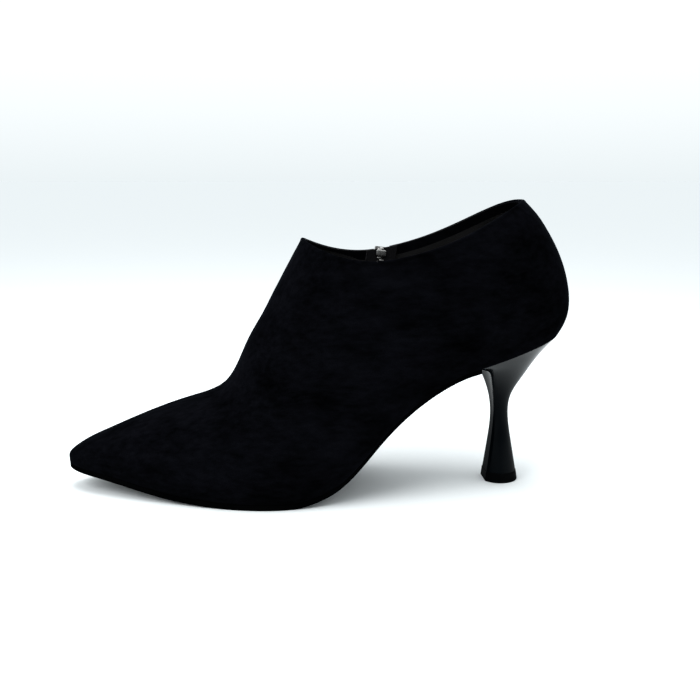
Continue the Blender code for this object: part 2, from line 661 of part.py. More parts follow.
def build_pull(parts, frame):
    """Flat tab that hangs from the crown, its origin on the pin's axis."""
    curve = bpy.data.curves.new("zip_pull", "CURVE")
    curve.dimensions = "2D"
    curve.fill_mode = "BOTH"
    curve.extrude = PULL_THICKNESS / 2 * MM
    top = PULL_THICKNESS / 2
    foot = top - PULL_LENGTH
    wide, narrow = PULL_FOOT_WIDTH / 2, PULL_TOP_WIDTH / 2
    outline = [(narrow, top), (-narrow, top), (-wide, foot + FOOT_BEVEL), (FOOT_BEVEL - wide, foot),
               (wide - FOOT_BEVEL, foot), (wide, foot + FOOT_BEVEL)]
    half, deep = PULL_WINDOW[0] / 2, PULL_WINDOW[1] + top
    window = [(half, -top), (half, -deep), (-half, -deep), (-half, -top)]
    turns = np.linspace(0, 2 * math.pi, HOLE_STEPS, endpoint=False)
    hole = [(PULL_HOLE[0] * math.cos(t), PULL_HOLE[0] * math.sin(t) - PULL_HOLE[1]) for t in turns]
    for points in (outline, window, hole):
        spline = curve.splines.new("POLY")
        spline.points.add(len(points) - 1)
        for point, (x, y) in zip(spline.points, points):
            point.co = (x * MM, y * MM, 0.0, 1.0)
        spline.use_cyclic_u = True
    curve.materials.append(finish("zip pull"))
    pull = bpy.data.objects.new("zip_pull", curve)
    parts.objects.link(pull)
    pull.matrix_world = frame @ Matrix.Translation(Vector((0.0, PIN_ALONG, PIN_UP)) * MM)
    return pull


def build_boot():
    """Make every piece of the boot, in a collection of its own, with the cutters in another."""
    clear_scene()
    parts = bpy.data.collections.new("ankle boot")
    tools = bpy.data.collections.new("cutters")
    for collection in (parts, tools):
        bpy.context.scene.collection.children.link(collection)
    build_upper(parts, tools)
    build_outsole(parts)
    build_insole(parts)
    build_heel(parts)
    build_heel_tip(parts)
    build_zip(parts, tools)
    frame = slider_frame()
    build_slider(parts, tools, frame)
    build_pull(parts, frame)


build_boot()
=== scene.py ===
"""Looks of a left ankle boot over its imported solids: suede, lining, sole, lacquered heel and side zip.

Shapes are worked out in millimetres, with stations counted along the boot from the toe tip, y towards the
inner side and z up, and are placed in metres about the middle of the boot's box.
"""

import math

import bmesh
import bpy
import numpy as np
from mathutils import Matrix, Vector


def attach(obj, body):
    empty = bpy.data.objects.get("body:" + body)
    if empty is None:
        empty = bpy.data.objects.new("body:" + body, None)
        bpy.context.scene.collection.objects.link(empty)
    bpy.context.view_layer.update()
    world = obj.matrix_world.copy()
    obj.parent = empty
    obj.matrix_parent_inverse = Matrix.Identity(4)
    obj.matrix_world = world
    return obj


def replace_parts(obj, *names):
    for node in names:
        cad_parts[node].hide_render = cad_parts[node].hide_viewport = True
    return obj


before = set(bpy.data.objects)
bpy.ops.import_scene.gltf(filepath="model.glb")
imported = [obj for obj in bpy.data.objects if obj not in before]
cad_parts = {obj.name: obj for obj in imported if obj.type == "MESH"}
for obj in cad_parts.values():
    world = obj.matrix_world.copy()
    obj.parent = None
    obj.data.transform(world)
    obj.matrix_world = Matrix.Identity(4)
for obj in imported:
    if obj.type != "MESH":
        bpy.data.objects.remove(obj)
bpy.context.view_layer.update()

MM = 0.001
# Middle of the boot's box, mm from the toe tip
MIDDLE = np.array([117.237, 0.503, 0.0])

# Driving dimensions of the last and of its materials, mm. GAP is the room between layers, TOUCH the
# hairline between two faces that meet, and TUCK how far the wall runs down into the sole and the heel.
LENGTH = 234.7
BALL_WIDTH = 78.0
INSTEP_HEIGHT = 116.4
HEEL_HEIGHT = 69.3
WALL = 1.8
SUEDE = 1.25
LINING = 0.5
SOLE_THICKNESS = 2.2
SOCK_THICKNESS = 1.5
TIP_HEIGHT = 4.7
GAP = 0.3
TOUCH = 0.05
TUCK = 0.5

# One row for each section of the last, from the toe over the heel seat to the collar: the ridge, the widest
# point of the side and the bottom line, which becomes the back seam. Columns that end in _along are percent
# of LENGTH; ridge_up and side_up are percent of INSTEP_HEIGHT and end_up of HEEL_HEIGHT; the side and under
# columns and swing are percent of half of BALL_WIDTH. crown is the roundness of the ridge.
# bow, percent of INSTEP_HEIGHT, raises a ring between its side and the back seam.
SECTION_COLUMNS = ("ridge_along", "ridge_up", "side_along", "side_up", "side_outer", "side_inner",
                   "under_outer", "under_inner", "end_along", "end_up", "swing", "crown", "bow")
SECTIONS = {
    "toe tip":    (0.0, 13.0, 0.0, 12.0, 0.0, 0.0, 0.0, 0.0, 0.3, 8.0, 10.0, 0.60, 0.0),
    "toe":        (2.0, 17.3, 1.5, 13.1, 17.5, 17.5, 12.0, 12.0, 1.4, 7.2, 10.0, 0.60, 0.0),
    "toe end":    (6.9, 22.4, 6.4, 13.7, 37.5, 37.0, 31.0, 30.0, 6.0, 5.0, 9.5, 0.56, 0.0),
    "toe box":    (15.4, 29.8, 15.3, 13.3, 60.5, 59.5, 56.0, 54.0, 15.0, -1.0, 7.5, 0.52, 0.0),
    "vamp":       (23.0, 35.4, 24.3, 12.9, 80.5, 78.5, 80.0, 78.0, 24.5, -6.5, 5.5, 0.50, 0.0),
    "joints":     (28.3, 38.8, 33.2, 13.3, 95.5, 95.0, 101.0, 97.0, 33.8, -8.5, 4.0, 0.46, 0.0),
    "throat":     (32.2, 44.2, 40.5, 16.3, 100.5, 97.5, 111.0, 100.0, 41.8, -8.5, 2.5, 0.44, 0.0),
    "shaft":      (35.8, 58.1, 47.7, 28.4, 95.5, 89.5, 114.0, 92.0, 51.1, -2.6, 1.5, 0.44, 0.0),
    "instep":     (39.1, 70.0, 53.1, 44.5, 88.5, 84.5, 112.0, 80.0, 61.6, 30.0, 1.0, 0.46, 0.0),
    "waist":      (41.4, 78.8, 57.2, 59.0, 84.5, 82.5, 97.0, 72.0, 72.2, 60.4, 0.5, 0.48, 0.0),
    "seat front": (42.5, 82.9, 59.7, 68.0, 82.5, 82.0, 84.0, 76.0, 83.5, 77.0, 0.0, 0.51, 0.0),
    "seat":       (43.5, 86.7, 60.9, 73.3, 82.0, 82.0, 72.0, 69.0, 91.0, 84.0, 0.0, 0.53, 0.0),
    "seat back":  (44.2, 89.3, 61.6, 77.0, 82.0, 82.0, 64.0, 63.0, 94.8, 91.2, 0.0, 0.54, 0.0),
    "heel turn":  (44.8, 91.5, 62.1, 80.0, 82.0, 82.0, 60.0, 60.0, 98.2, 104.6, 0.0, 0.55, 0.0),
    "counter":    (45.3, 93.4, 62.4, 82.8, 82.0, 82.0, 59.0, 59.0, 99.65, 115.6, 0.0, 0.55, 0.2),
    "heel cup":   (45.8, 95.2, 62.6, 85.8, 82.0, 82.0, 58.0, 58.0, 99.3, 139.4, 0.0, 0.55, 0.5),
    "ankle":      (46.4, 97.4, 62.8, 89.2, 82.0, 82.0, 56.0, 56.0, 96.5, 163.6, 0.0, 0.55, 1.0),
    "collar":     (47.1, 100.0, 63.1, 93.5, 82.0, 82.0, 54.0, 54.0, 91.0, 191.3, 0.0, 0.55, 1.7),
}
# Feather edge seen from the side: percent of LENGTH, then percent of HEEL_HEIGHT. Behind its last point
# the heel seat slopes up to SEAT_BACK, percent of LENGTH, and SEAT_CURVE times distance squared is added.
FEATHER = ((0.0, 17.8), (9.4, 13.8), (21.3, 6.6), (34.1, 3.4), (44.7, 3.4), (50.3, 8.3), (55.4, 18.3),
           (61.3, 41.2), (68.2, 63.8), (74.1, 77.6), (79.3, 85.1))
SEAT_BACK = 96.7
SEAT_CURVE = 0.0009
# Handle of a cubic arc that stands for a quarter circle, and the highest value of t^3 (1 - t)^2
ROUND = 0.5523
BOW_PEAK = 0.6 ** 3 * 0.4 ** 2
# Roll of the collar's back over its last mm: travel that it takes, then shift of the rim in mm
ROLL_TRAVEL = 8.0
ROLL_SHIFT = np.array([-2.6, 0.0, 0.8])

# Rings of the wall: divisions of each span between two rows, more about the ring that closes on the back
# seam and more under the rim; then columns on the outer side, before the zip and behind it
ROW_STEPS = (16, 10, 12, 10, 10, 9, 11, 12, 11, 10, 7, 6, 6, 5, 6, 6, 7)
CLOSING_SPREAD = 6.0
CLOSING_RINGS = (-0.9, -0.75, -0.6, -0.48, -0.37, -0.28, -0.2, -0.13, -0.08, -0.04, 0.0,
                 0.12, 0.3, 0.55, 0.8)
RIM_RINGS = (0.0, 0.06, 0.14, 0.26, 0.42, 0.62, 0.9, 1.3, 1.8)
EDGE_STEPS = (0.0, 0.06, 0.16, 0.3, 0.5, 0.75, 1.1)
OUTER_COLUMNS = 52
FRONT_COLUMNS = 34
REAR_COLUMNS = 22
# Least lengths of a ring's two halves that columns are spread over, mm
LEAST_OUTER = 4.0
LEAST_INNER = 4 * EDGE_STEPS[-1]
# Steps in which an edge, a ring's length and the closing ring are looked for
TRIM_STEPS = 400
RUN_STEPS = 100
CLOSING_STEPS = 4000
# Meshes: distance at which points are welded, mm, the angle of a sharp edge, and what counts as no length
WELD = 0.004
SHARP = 50.0
TINY = 1e-9

# Back seam, mm: depth and half width of its groove; height, distance and half width of the ridge beside it
SEAM_GROOVE = (0.32, 0.42)
SEAM_RIDGE = (0.12, 1.5, 0.8)

# Suede rolled over the rim, mm: how far it stands out and over the rim, the outer leg, where that starts
# to thin and how far its end goes under, the leg inside, and how far that leg's end stands in and down.
# The cap is RIM_TOP times a sine, squared off by a power and sunk by a share of itself.
RIM_PROUD = 0.14
RIM_TOP = 0.75
RIM_LEG = 1.9
RIM_THIN = 1.2
RIM_UNDER = 0.06
RIM_FACING = 4.5
RIM_NOSE = (0.1, 0.2)
RIM_SQUARE = 0.8
RIM_SUNK = 0.8
RIM_STEPS = 19

# Sole: how far its rim stands out from the feather edge, percent of LENGTH then mm; its edge, mm, with
# the power that squares it and the widths of edge that a full edge needs; the hollow of the heel's seat,
# mm, and the share of it that the sole's tongue fills; then the sock's inset and crown, mm
SOLE_LIP = ((0.0, -0.1), (3.0, 0.2), (15.0, 0.6), (46.0, 0.7), (62.0, -0.3), (80.0, -0.3))
SOLE_EDGE = 0.45
EDGE_SQUARE = 0.6
EDGE_ROOM = 4
EDGE_TURNS = 9
SOLE_ALONG = 150
SOLE_ACROSS = 24
SEAT_SCOOP = 9.0
TONGUE_SHARE = 0.4
SOCK_INSET = 1.8
SOCK_CROWN = 0.5

# Heel levels: station and height of the front, station and height of the back, half width, the angle from
# the back at which the round side meets the breast, and the breast's hollow; mm and degrees
HEEL_FOOT = TIP_HEIGHT + TOUCH
BASE_CORNER = 145.0
HEEL_LEVELS = {
    "wing":  (191.5, 57.8, 222.7, 63.8, 21.0, 90.0, 5.5),
    "cup":   (196.4, 52.0, 215.8, 53.7, 13.6, 97.0, 2.6),
    "neck":  (199.2, 43.0, 209.6, 43.4, 7.2, 116.0, 0.8),
    "waist": (200.3, 34.0, 208.0, 34.0, 5.0, 134.0, 0.2),
    "shin":  (199.5, 20.0, 209.8, 20.0, 6.3, BASE_CORNER, 0.0),
    "base":  (197.7, HEEL_FOOT, 212.6, HEEL_FOOT, 8.2, BASE_CORNER, 0.0),
}
HEEL_AROUND = 144
BREAST_STEPS = HEEL_AROUND // 3
HEEL_DOWN = 15
HEEL_SOFTEN = 2
# Top piece: front, back and half width at its top and at its foot, and the rounds of those two edges, mm
TIP_TOP = (197.5, 212.8, 8.4)
TIP_FOOT = (197.0, 213.6, 8.8)
TIP_EASE = 0.2
TIP_ROUND = 0.5
TIP_TURNS = 6

# Zip on the inner side: its line from the collar down in the side view, and the widths of its layers, mm
ZIP_TOP = np.array([150.0, 109.0])
ZIP_FOOT = np.array([141.0, 42.0])
ZIP_LENGTH = float(np.linalg.norm(ZIP_FOOT - ZIP_TOP))
ZIP_DOWN = (ZIP_FOOT - ZIP_TOP) / ZIP_LENGTH
ZIP_ACROSS = np.array([-ZIP_DOWN[1], ZIP_DOWN[0]])
ZIP_STEP = 0.5
SLOT_WIDTH = 7.6
# Shares of a ring's inner half between which the slot is looked for
SLOT_FIRST = 0.05
SLOT_LAST = 0.9
# Grid of the inner side on which a place is first looked for: its points each way and its span around
SEEK_POINTS = 60
SEEK_SPAN = (0.24, 0.86)
NEWTON_STEPS = 8
TAPE_WIDTH = 15.0
TAPE_THICKNESS = 0.8
TAPE_END = 5.0
# Top edge of the tape, just under the rim, and its slant; half the gap between the two tapes, the share
# of it that is left below the teeth, and how far above the foot, in lengths of TAPE_END, the tapes have met
RIM_DROP = -0.25
RIM_SLANT = -0.307
TAPE_SPLIT = 1.2
TAPE_MEET = 0.02
TAPE_JOIN = 0.9
TAPE_ROWS = 90
TAPE_COLUMNS = 13
# Weave of the tape: width of a stripe in mm, and turn of the ribs in radians a mm
WEAVE_STRIPE = 0.9
WEAVE_TURN = 9.0
# Teeth, mm: pitch, half sizes across, down and out, distance from the middle, how far they lie under the
# suede's face, and what is left free at the two ends of the row. A shape is rings, sides and squareness.
TOOTH_PITCH = 1.05
TOOTH_SIZE = np.array([1.35, 0.44, 1.25])
TOOTH_OFFSET = 0.78
CHAIN_RECESS = 0.5
TEETH_TOP = 0.8
TEETH_FOOT = 0.5
TOOTH_SHAPE = (6, 12, 0.45)

# Stitches, mm: half sizes, pitch, how far they stand out, and the row's distance from the slot and the rim
STITCH_SIZE = np.array([0.22, 1.1, 0.22])
STITCH_PITCH = 2.9
STITCH_PROUD = 0.08
STITCH_FROM_SLOT = 2.2
STITCH_FROM_RIM = 3.5
STITCH_SHAPE = (6, 8, 0.8)
STRAIGHT_STEPS = 200
TURN_STEPS = 60

# Slider, mm: distance down the zip; half width, crest, shoulders and bevel; then half width, roof and
# bevel of the channel for the teeth, and the half width below which its legs don't narrow
SLIDER_FROM_TOP = 3.6
SLIDER_HALF = 3.3
SLIDER_CREST = 1.0
SLIDER_SHOULDER = 0.9
SLIDER_BEVEL = 0.25
SHOULDER_TURNS = 6
CHANNEL_HALF = 2.4
CHANNEL_ROOF = -0.2
CHANNEL_BEVEL = 0.15
NARROWEST = 2.5
# Sections of the slider: place up the zip in mm, then shares of its full width and of its crest
SLIDER_SECTIONS = ((-4.2, 0.74, 0.82), (-4.12, 0.79, 0.92), (-3.9, 0.83, 0.98), (-3.4, 0.87, 1.0),
                   (-2.0, 0.93, 1.0), (0.0, 0.98, 1.0), (1.5, 1.0, 1.0), (3.0, 1.0, 1.0),
                   (3.7, 0.99, 0.98), (4.05, 0.97, 0.92), (4.2, 0.93, 0.82))
# Half sizes and middles of the slider's back plate and of the post that joins it: across, up and out
SLIDER_BLOCKS = {
    "zip_slider_back": ((2.5, 1.6, 0.4), (0.0, 1.3, -3.45)),
    "zip_slider_post": ((1.0, 0.9, 1.8), (0.0, 3.1, -1.6)),
}
BLOCK_SHAPE = (16, 32, 0.35)
# Crown, mm: half length, foot and rise of its arch with the power that squares it; half sizes and
# squareness of its bar
CROWN_HALF = 2.45
CROWN_FOOT = 0.85
CROWN_RISE = 2.8
CROWN_ARCH = 0.75
CROWN_BAR = (0.7, 0.42)
CROWN_SQUARE = 0.7
CROWN_STEPS = 25
CROWN_SIDES = 12

# Pull tab, mm: place of its pin up from the slider's middle and out from the wall, half thickness and
# round of the edge; then half width, half height and middle of its ovals, the middle counted up from the pin
PIN_ALONG = 0.6
PIN_UP = 2.1
PULL_HALF = 0.6
PULL_EDGE = 0.22
PULL_TOP = (2.4, 1.8, -1.2)
PULL_FOOT = (2.9, 2.8, -17.6)
PULL_WINDOW = (1.05, 1.9, -2.5)
PULL_HOLE = (1.1, 1.1, -17.2)
WINDOW_SQUARE = 0.5
END_STEPS = 17
HOLE_STEPS = 28

# Studio: the floor's reach in metres and its two shades of paper; the colours of the surroundings at the
# horizon and above, and the sine of the angle at which they reach the second
FLOOR_REACH = 60.0
FLOOR_SIDES = 64
FLOOR_SHADES = ((0.745, 0.782, 0.792), (0.765, 0.80, 0.81))
ROOM_LOW = (0.715, 0.763, 0.778)
ROOM_HIGH = (0.95, 0.97, 0.98)
ROOM_RISE = 0.22
# Lights: place, target and size in metres, then watts
LIGHTS = {
    "top_light": ((0.0, 0.0, 0.6), (0.0, 0.0, 0.0), 0.45, 2.6),
    "key_light": ((-0.55, -0.45, 0.6), (-0.08, 0.0, 0.02), 0.5, 3.6),
}
# Camera: its eye in mm about the boot's origin, degrees down and to the right, its lens in pixels of the
# picture's width, its sensor in mm, and the nearest distance that it sees, metres
EYE = (-10.6, -388.44, 142.2)
PITCH = 11.35
YAW = 3.8
LENS_PIXELS = 850.0
PICTURE_PIXELS = 700.0
SENSOR = 36.0
NEAREST = 0.01


def cubic(knots, values, at, start=None, end=None):
    """Cubic spline through values at knots, read at the places at; an end is natural unless given a slope.

    The bends m solve the usual three-term system. Between two knots the curve is
    (m0 left^3 + m1 past^3) / 6h + (y0 / h - m0 h / 6) left + (y1 / h - m1 h / 6) past.
    """
    x = np.asarray(knots, float)
    y = np.asarray(values, float)
    flat = y.reshape(len(x), -1)
    step = np.diff(x)
    rise = np.diff(flat, axis=0) / step[:, None]
    system = np.eye(len(x))
    known = np.zeros_like(flat)
    for i in range(1, len(x) - 1):
        system[i, i - 1:i + 2] = step[i - 1], 2 * (step[i - 1] + step[i]), step[i]
        known[i] = 6 * (rise[i] - rise[i - 1])
    if start is not None:
        system[0, :2] = 2 * step[0], step[0]
        known[0] = 6 * (rise[0] - start)
    if end is not None:
        system[-1, -2:] = step[-1], 2 * step[-1]
        known[-1] = 6 * (end - rise[-1])
    bend = np.linalg.solve(system, known)
    place = np.asarray(at, float)
    i = np.clip(np.searchsorted(x, place) - 1, 0, len(x) - 2)
    past = (place - x[i])[..., None]
    left = (x[i + 1] - place)[..., None]
    h = step[i][..., None]
    curve = (bend[i] * left ** 3 + bend[i + 1] * past ** 3) / (6 * h)
    curve += (flat[i] / h - bend[i] * h / 6) * left
    curve += (flat[i + 1] / h - bend[i + 1] * h / 6) * past
    return curve.reshape(place.shape + y.shape[1:])


SEAT_FRONT = FEATHER[-1][0] / 100 * LENGTH
SEAT_SLOPE = (100 - FEATHER[-1][1]) / 100 * HEEL_HEIGHT / (SEAT_BACK / 100 * LENGTH - SEAT_FRONT)
TREAD_UP = SOLE_THICKNESS + GAP


def feather_up(along):
    """Height of the feather edge at a station: a spline, flat over the tread, then the seat's parabola."""
    stations, heights = np.array(FEATHER).T
    along = np.asarray(along, float)
    ahead = np.minimum(along, SEAT_FRONT)
    curve = cubic(stations / 100 * LENGTH, heights / 100 * HEEL_HEIGHT, ahead, end=SEAT_SLOPE)
    past = np.maximum(along - SEAT_FRONT, 0)
    return np.maximum(curve, TREAD_UP) + SEAT_SLOPE * past + SEAT_CURVE * past ** 2


def last_rows():
    """Columns of the sections in mm, as a dictionary of arrays."""
    scale = dict.fromkeys(SECTION_COLUMNS, BALL_WIDTH / 200)
    scale.update(dict.fromkeys(("ridge_along", "side_along", "end_along"), LENGTH / 100))
    scale.update(dict.fromkeys(("ridge_up", "side_up", "bow"), INSTEP_HEIGHT / 100))
    scale.update(end_up=HEEL_HEIGHT / 100, crown=1.0)
    table = np.array(list(SECTIONS.values()))
    return {name: table[:, i] * scale[name] for i, name in enumerate(SECTION_COLUMNS)}


ROWS = last_rows()


def row_knots():
    """Place of each row along the last: the running mean travel of its ridge, side and end points."""
    track = np.stack([ROWS[name] for name in ("ridge_along", "ridge_up", "side_along", "side_up",
                                              "side_outer", "end_along", "end_up")], axis=-1)
    travel = np.sqrt((np.diff(track, axis=0) ** 2).sum(axis=1) / 2)
    return np.append(0.0, np.cumsum(travel))


KNOTS = row_knots()
COLLAR = KNOTS[-1]
SHAFT = KNOTS[list(SECTIONS).index("shaft")]


def quarter(a, b, c, d, t):
    """Cubic arc from a to d with handles b and c: the Bernstein sum of the four points."""
    return (1 - t) ** 3 * a + 3 * (1 - t) ** 2 * t * b + 3 * (1 - t) * t ** 2 * c + t ** 3 * d


def last_surface(u, v):
    """Outer face of the upper at place u along the last and v around it.

    v runs from -1 at the bottom line over the outer side, 0 at the ridge and the inner side to 1 at the
    bottom line again. Each half is two quarter arcs, from the ridge to the widest point of the side and
    from there to the end.
    """
    u, v = np.broadcast_arrays(np.asarray(u, float), np.asarray(v, float))
    row = {name: cubic(KNOTS, ROWS[name], u, start=0.0 if name.endswith("_along") else None)
           for name in SECTION_COLUMNS}
    hand = np.where(v < 0, -1.0, 1.0)
    out = np.where(v < 0, row["side_outer"], row["side_inner"])
    under = np.where(v < 0, row["under_outer"], row["under_inner"])
    zero = np.zeros_like(u)
    ridge = np.stack([row["ridge_along"], row["swing"], row["ridge_up"]], axis=-1)
    side = np.stack([row["side_along"], row["swing"] + hand * out, row["side_up"]], axis=-1)
    end = np.stack([row["end_along"], row["swing"], row["end_up"]], axis=-1)
    rolled = np.maximum((u - COLLAR) / ROLL_TRAVEL + 1, 0) ** 2
    end = end + rolled[..., None] * ROLL_SHIFT
    fall = (end - ridge) / np.linalg.norm(end - ridge, axis=-1, keepdims=True)
    flat = np.array([1.0, 0.0, 1.0])
    above = ROUND * np.linalg.norm((side - ridge) * flat, axis=-1, keepdims=True)
    below = ROUND * np.linalg.norm((end - side) * flat, axis=-1, keepdims=True)
    over = np.stack([zero, hand * row["crown"] * out, zero], axis=-1)
    beneath = np.stack([zero, hand * under, zero], axis=-1)
    turn = np.abs(v)[..., None]
    top = quarter(ridge, ridge + over, side - above * fall, side, np.clip(2 * turn, 0, 1))
    lower = np.clip(2 * turn - 1, 0, 1)
    low = quarter(side, side + below * fall, end + beneath, end, lower)
    low += np.stack([zero, zero, row["bow"]], axis=-1) * lower ** 3 * (1 - lower) ** 2 / BOW_PEAK
    return np.where(turn <= 0.5, top, low)


def unit(vectors):
    """Vectors scaled to length 1."""
    return vectors / np.maximum(np.linalg.norm(vectors, axis=-1, keepdims=True), TINY)


def signed_power(value, power):
    """Size of a value raised to a power, with its sign: a power below 1 squares off a sine or cosine."""
    return np.sign(value) * np.abs(value) ** power


def wall_normal(u, v):
    """Unit outward normal of the last: the cross product of its two central differences."""
    du, dv = 0.02, 0.002
    low_u, high_u = np.maximum(u - du, 0.0), np.minimum(u + du, COLLAR)
    v = np.clip(v, dv - 1, 1 - dv)
    u, v, low_u, high_u = np.broadcast_arrays(u, v, low_u, high_u)
    along = last_surface(high_u, v) - last_surface(low_u, v)
    around = last_surface(u, v + dv) - last_surface(u, v - dv)
    return unit(np.cross(along, around))


def crossing(v, values):
    """Place on each row of v at which its values, positive at first, reach zero, on a straight line."""
    row = np.arange(len(values))
    j = np.clip((values > 0).sum(axis=1), 1, values.shape[1] - 1)
    share = np.clip(values[row, j - 1] / (values[row, j - 1] - values[row, j]), 0, 1)
    return v[row, j - 1] + share * (v[row, j] - v[row, j - 1])


def feather_turn(u, hand, tuck=0.0):
    """How far around the last each ring comes to tuck mm under the feather edge: 1 if it closes behind."""
    v = np.tile(np.linspace(0.5, 1.0, TRIM_STEPS), (len(u), 1))
    points = last_surface(u[:, None], hand * v)
    over = points[..., 2] - feather_up(points[..., 0]) + tuck
    return np.where(over.min(axis=1) >= 0, 1.0, crossing(v, over))


def closing_place(tuck):
    """Place of the ring whose end on the bottom line comes up to tuck mm under the heel seat."""
    places = np.linspace(0, COLLAR, CLOSING_STEPS)
    ends = cubic(KNOTS, np.column_stack([ROWS["end_along"], ROWS["end_up"]]), places)
    return places[np.argmax(ends[:, 1] + tuck > feather_up(ends[:, 0]))]


CLOSING = closing_place(0.0)
TUCK_CLOSING = closing_place(TUCK)


def ring_places():
    """Places of the wall's rings: even in each span, closer about the closing ring and under the rim."""
    spans = [np.linspace(KNOTS[i], KNOTS[i + 1], n, endpoint=False) for i, n in enumerate(ROW_STEPS)]
    places = np.concatenate(spans)
    away = np.abs(places - TUCK_CLOSING) > CLOSING_SPREAD
    below = places < COLLAR - RIM_RINGS[-1]
    closing = TUCK_CLOSING + CLOSING_SPREAD * np.array(CLOSING_RINGS)
    return np.sort(np.concatenate([places[away & below], closing, COLLAR - np.array(RIM_RINGS)]))


def zip_place(points):
    """Distance down the zip and across it, mm, of points seen from the side."""
    off = points[..., [0, 2]] - ZIP_TOP
    return off @ ZIP_DOWN, off @ ZIP_ACROSS


def slot_margin(points):
    """Distance of points from the round-ended outline of the zip's slot in the side view; minus inside."""
    down, across = zip_place(points)
    return np.hypot(np.maximum(down - ZIP_LENGTH, 0), across) - SLOT_WIDTH / 2


def slot_edges(u, ends):
    """Where each ring meets the front and the rear edge of the slot; one place where it passes below it."""
    v = np.linspace(SLOT_FIRST, 1.0, 2 * TRIM_STEPS)[None, :] * ends[:, None]
    down, across = zip_place(last_surface(u[:, None], v))
    reach = np.sqrt(np.maximum((SLOT_WIDTH / 2) ** 2 - np.maximum(down - ZIP_LENGTH, 0) ** 2, 0))
    return [np.minimum(crossing(v, -edge), SLOT_LAST * ends) for edge in (across + reach, across - reach)]


def spread_from_edge(length, count):
    """Shares of lines of the given lengths: close at their first end, by EDGE_STEPS in mm, then even."""
    near = np.array(EDGE_STEPS)[None, :] / length[:, None]
    first = near[:, -1:]
    far = first + (1 - first) * np.linspace(0, 1, count + 1)[None, 1:]
    return np.concatenate([near, far], axis=1)


def run_length(points, axis):
    """Running length along a grid's axis."""
    step = np.linalg.norm(np.diff(points, axis=axis), axis=-1)
    total = np.cumsum(step, axis=axis)
    return np.concatenate([np.zeros_like(np.take(total, [0], axis=axis)), total], axis=axis)


class Wall:
    """Grid over the last, split at the zip's slot, with its normals and distances from its open edges."""

    def __init__(self, u):
        outer_end, inner_end = feather_turn(u, -1, TUCK), feather_turn(u, 1, TUCK)
        front, rear = slot_edges(u, inner_end)
        half = np.linspace(0, 1, RUN_STEPS)[None, :]
        outer_run = run_length(last_surface(u[:, None], -outer_end[:, None] * half), 1)[:, -1]
        inner_run = run_length(last_surface(u[:, None], inner_end[:, None] * half), 1)[:, -1]
        long = np.maximum(outer_run, LEAST_OUTER)
        short = np.maximum(inner_run / 2, LEAST_INNER)
        outer = -outer_end[:, None] * (1 - spread_from_edge(long, OUTER_COLUMNS))
        ahead = front[:, None] * (1 - spread_from_edge(short, FRONT_COLUMNS)[:, ::-1])
        share = spread_from_edge(short, REAR_COLUMNS // 2) / 2
        behind = np.concatenate([share, 1 - share[:, -2::-1]], axis=1)
        behind = rear[:, None] + (inner_end - rear)[:, None] * behind
        self.v = np.concatenate([outer, ahead[:, 1:], behind], axis=1)
        self.split = outer.shape[1] + ahead.shape[1] - 1
        self.points = last_surface(u[:, None], self.v)
        self.normals = wall_normal(u[:, None], self.v)
        self.open_ring = (u < TUCK_CLOSING)[:, None]
        run = run_length(self.points, 1)
        behind_run = run_length(self.points[:, self.split:], 1)
        self.from_end = np.concatenate([run[:, :self.split], behind_run[:, -1:] - behind_run], axis=1)
        up = run_length(self.points, 0)
        from_rim = up[-1:] - up
        from_slot = np.where(self.v > 0, slot_margin(self.points), BALL_WIDTH)
        foot = np.where(self.open_ring, self.from_end, BALL_WIDTH)
        self.margin = np.maximum(np.minimum(np.minimum(foot, from_rim), from_slot), 0)


def rounded(margin, radius):
    """Drop of a face near an edge, mm: a quarter circle of that radius, 0 away from the edge."""
    near = np.clip(1 - margin / radius, 0, 1)
    return radius * (1 - np.sqrt(1 - near ** 2))


def grid_quads(rows, columns, skip):
    """Corner numbers of the quads of a grid, without the column of faces that starts at skip."""
    corner = np.arange(rows * columns).reshape(rows, columns)
    quads = np.stack([corner[:-1, :-1], corner[1:, :-1], corner[1:, 1:], corner[:-1, 1:]], axis=-1)
    return np.delete(quads, skip, axis=1).reshape(-1, 4)


def loop_quads(rows, columns):
    """Corner numbers of the quads round a body of closed loops."""
    corner = np.arange(rows * columns).reshape(rows, columns)
    after = np.roll(corner, -1, axis=1)
    return np.stack([corner[:-1], after[:-1], after[1:], corner[1:]], axis=-1).reshape(-1, 4)


def flat_loop_quads(rows, columns):
    """Quads round a body of flat loops, with a strip of quads between the two faces over each end."""
    half = columns // 2
    quads = [loop_quads(rows, columns)]
    for start in (0, (rows - 1) * columns):
        row = start + np.arange(columns)
        back = row[::-1]
        quads.append(np.stack([row[:half - 1], row[1:half], back[1:half], back[:half - 1]], axis=-1))
    return np.concatenate(quads)


def placed(points):
    """Points in mm from the toe tip, as metres about the boot's origin."""
    return (np.asarray(points, float) - MIDDLE) * MM


def add_object(name, data):
    """New object in the scene, at the origin."""
    thing = bpy.data.objects.new(name, data)
    bpy.context.scene.collection.objects.link(thing)
    return thing


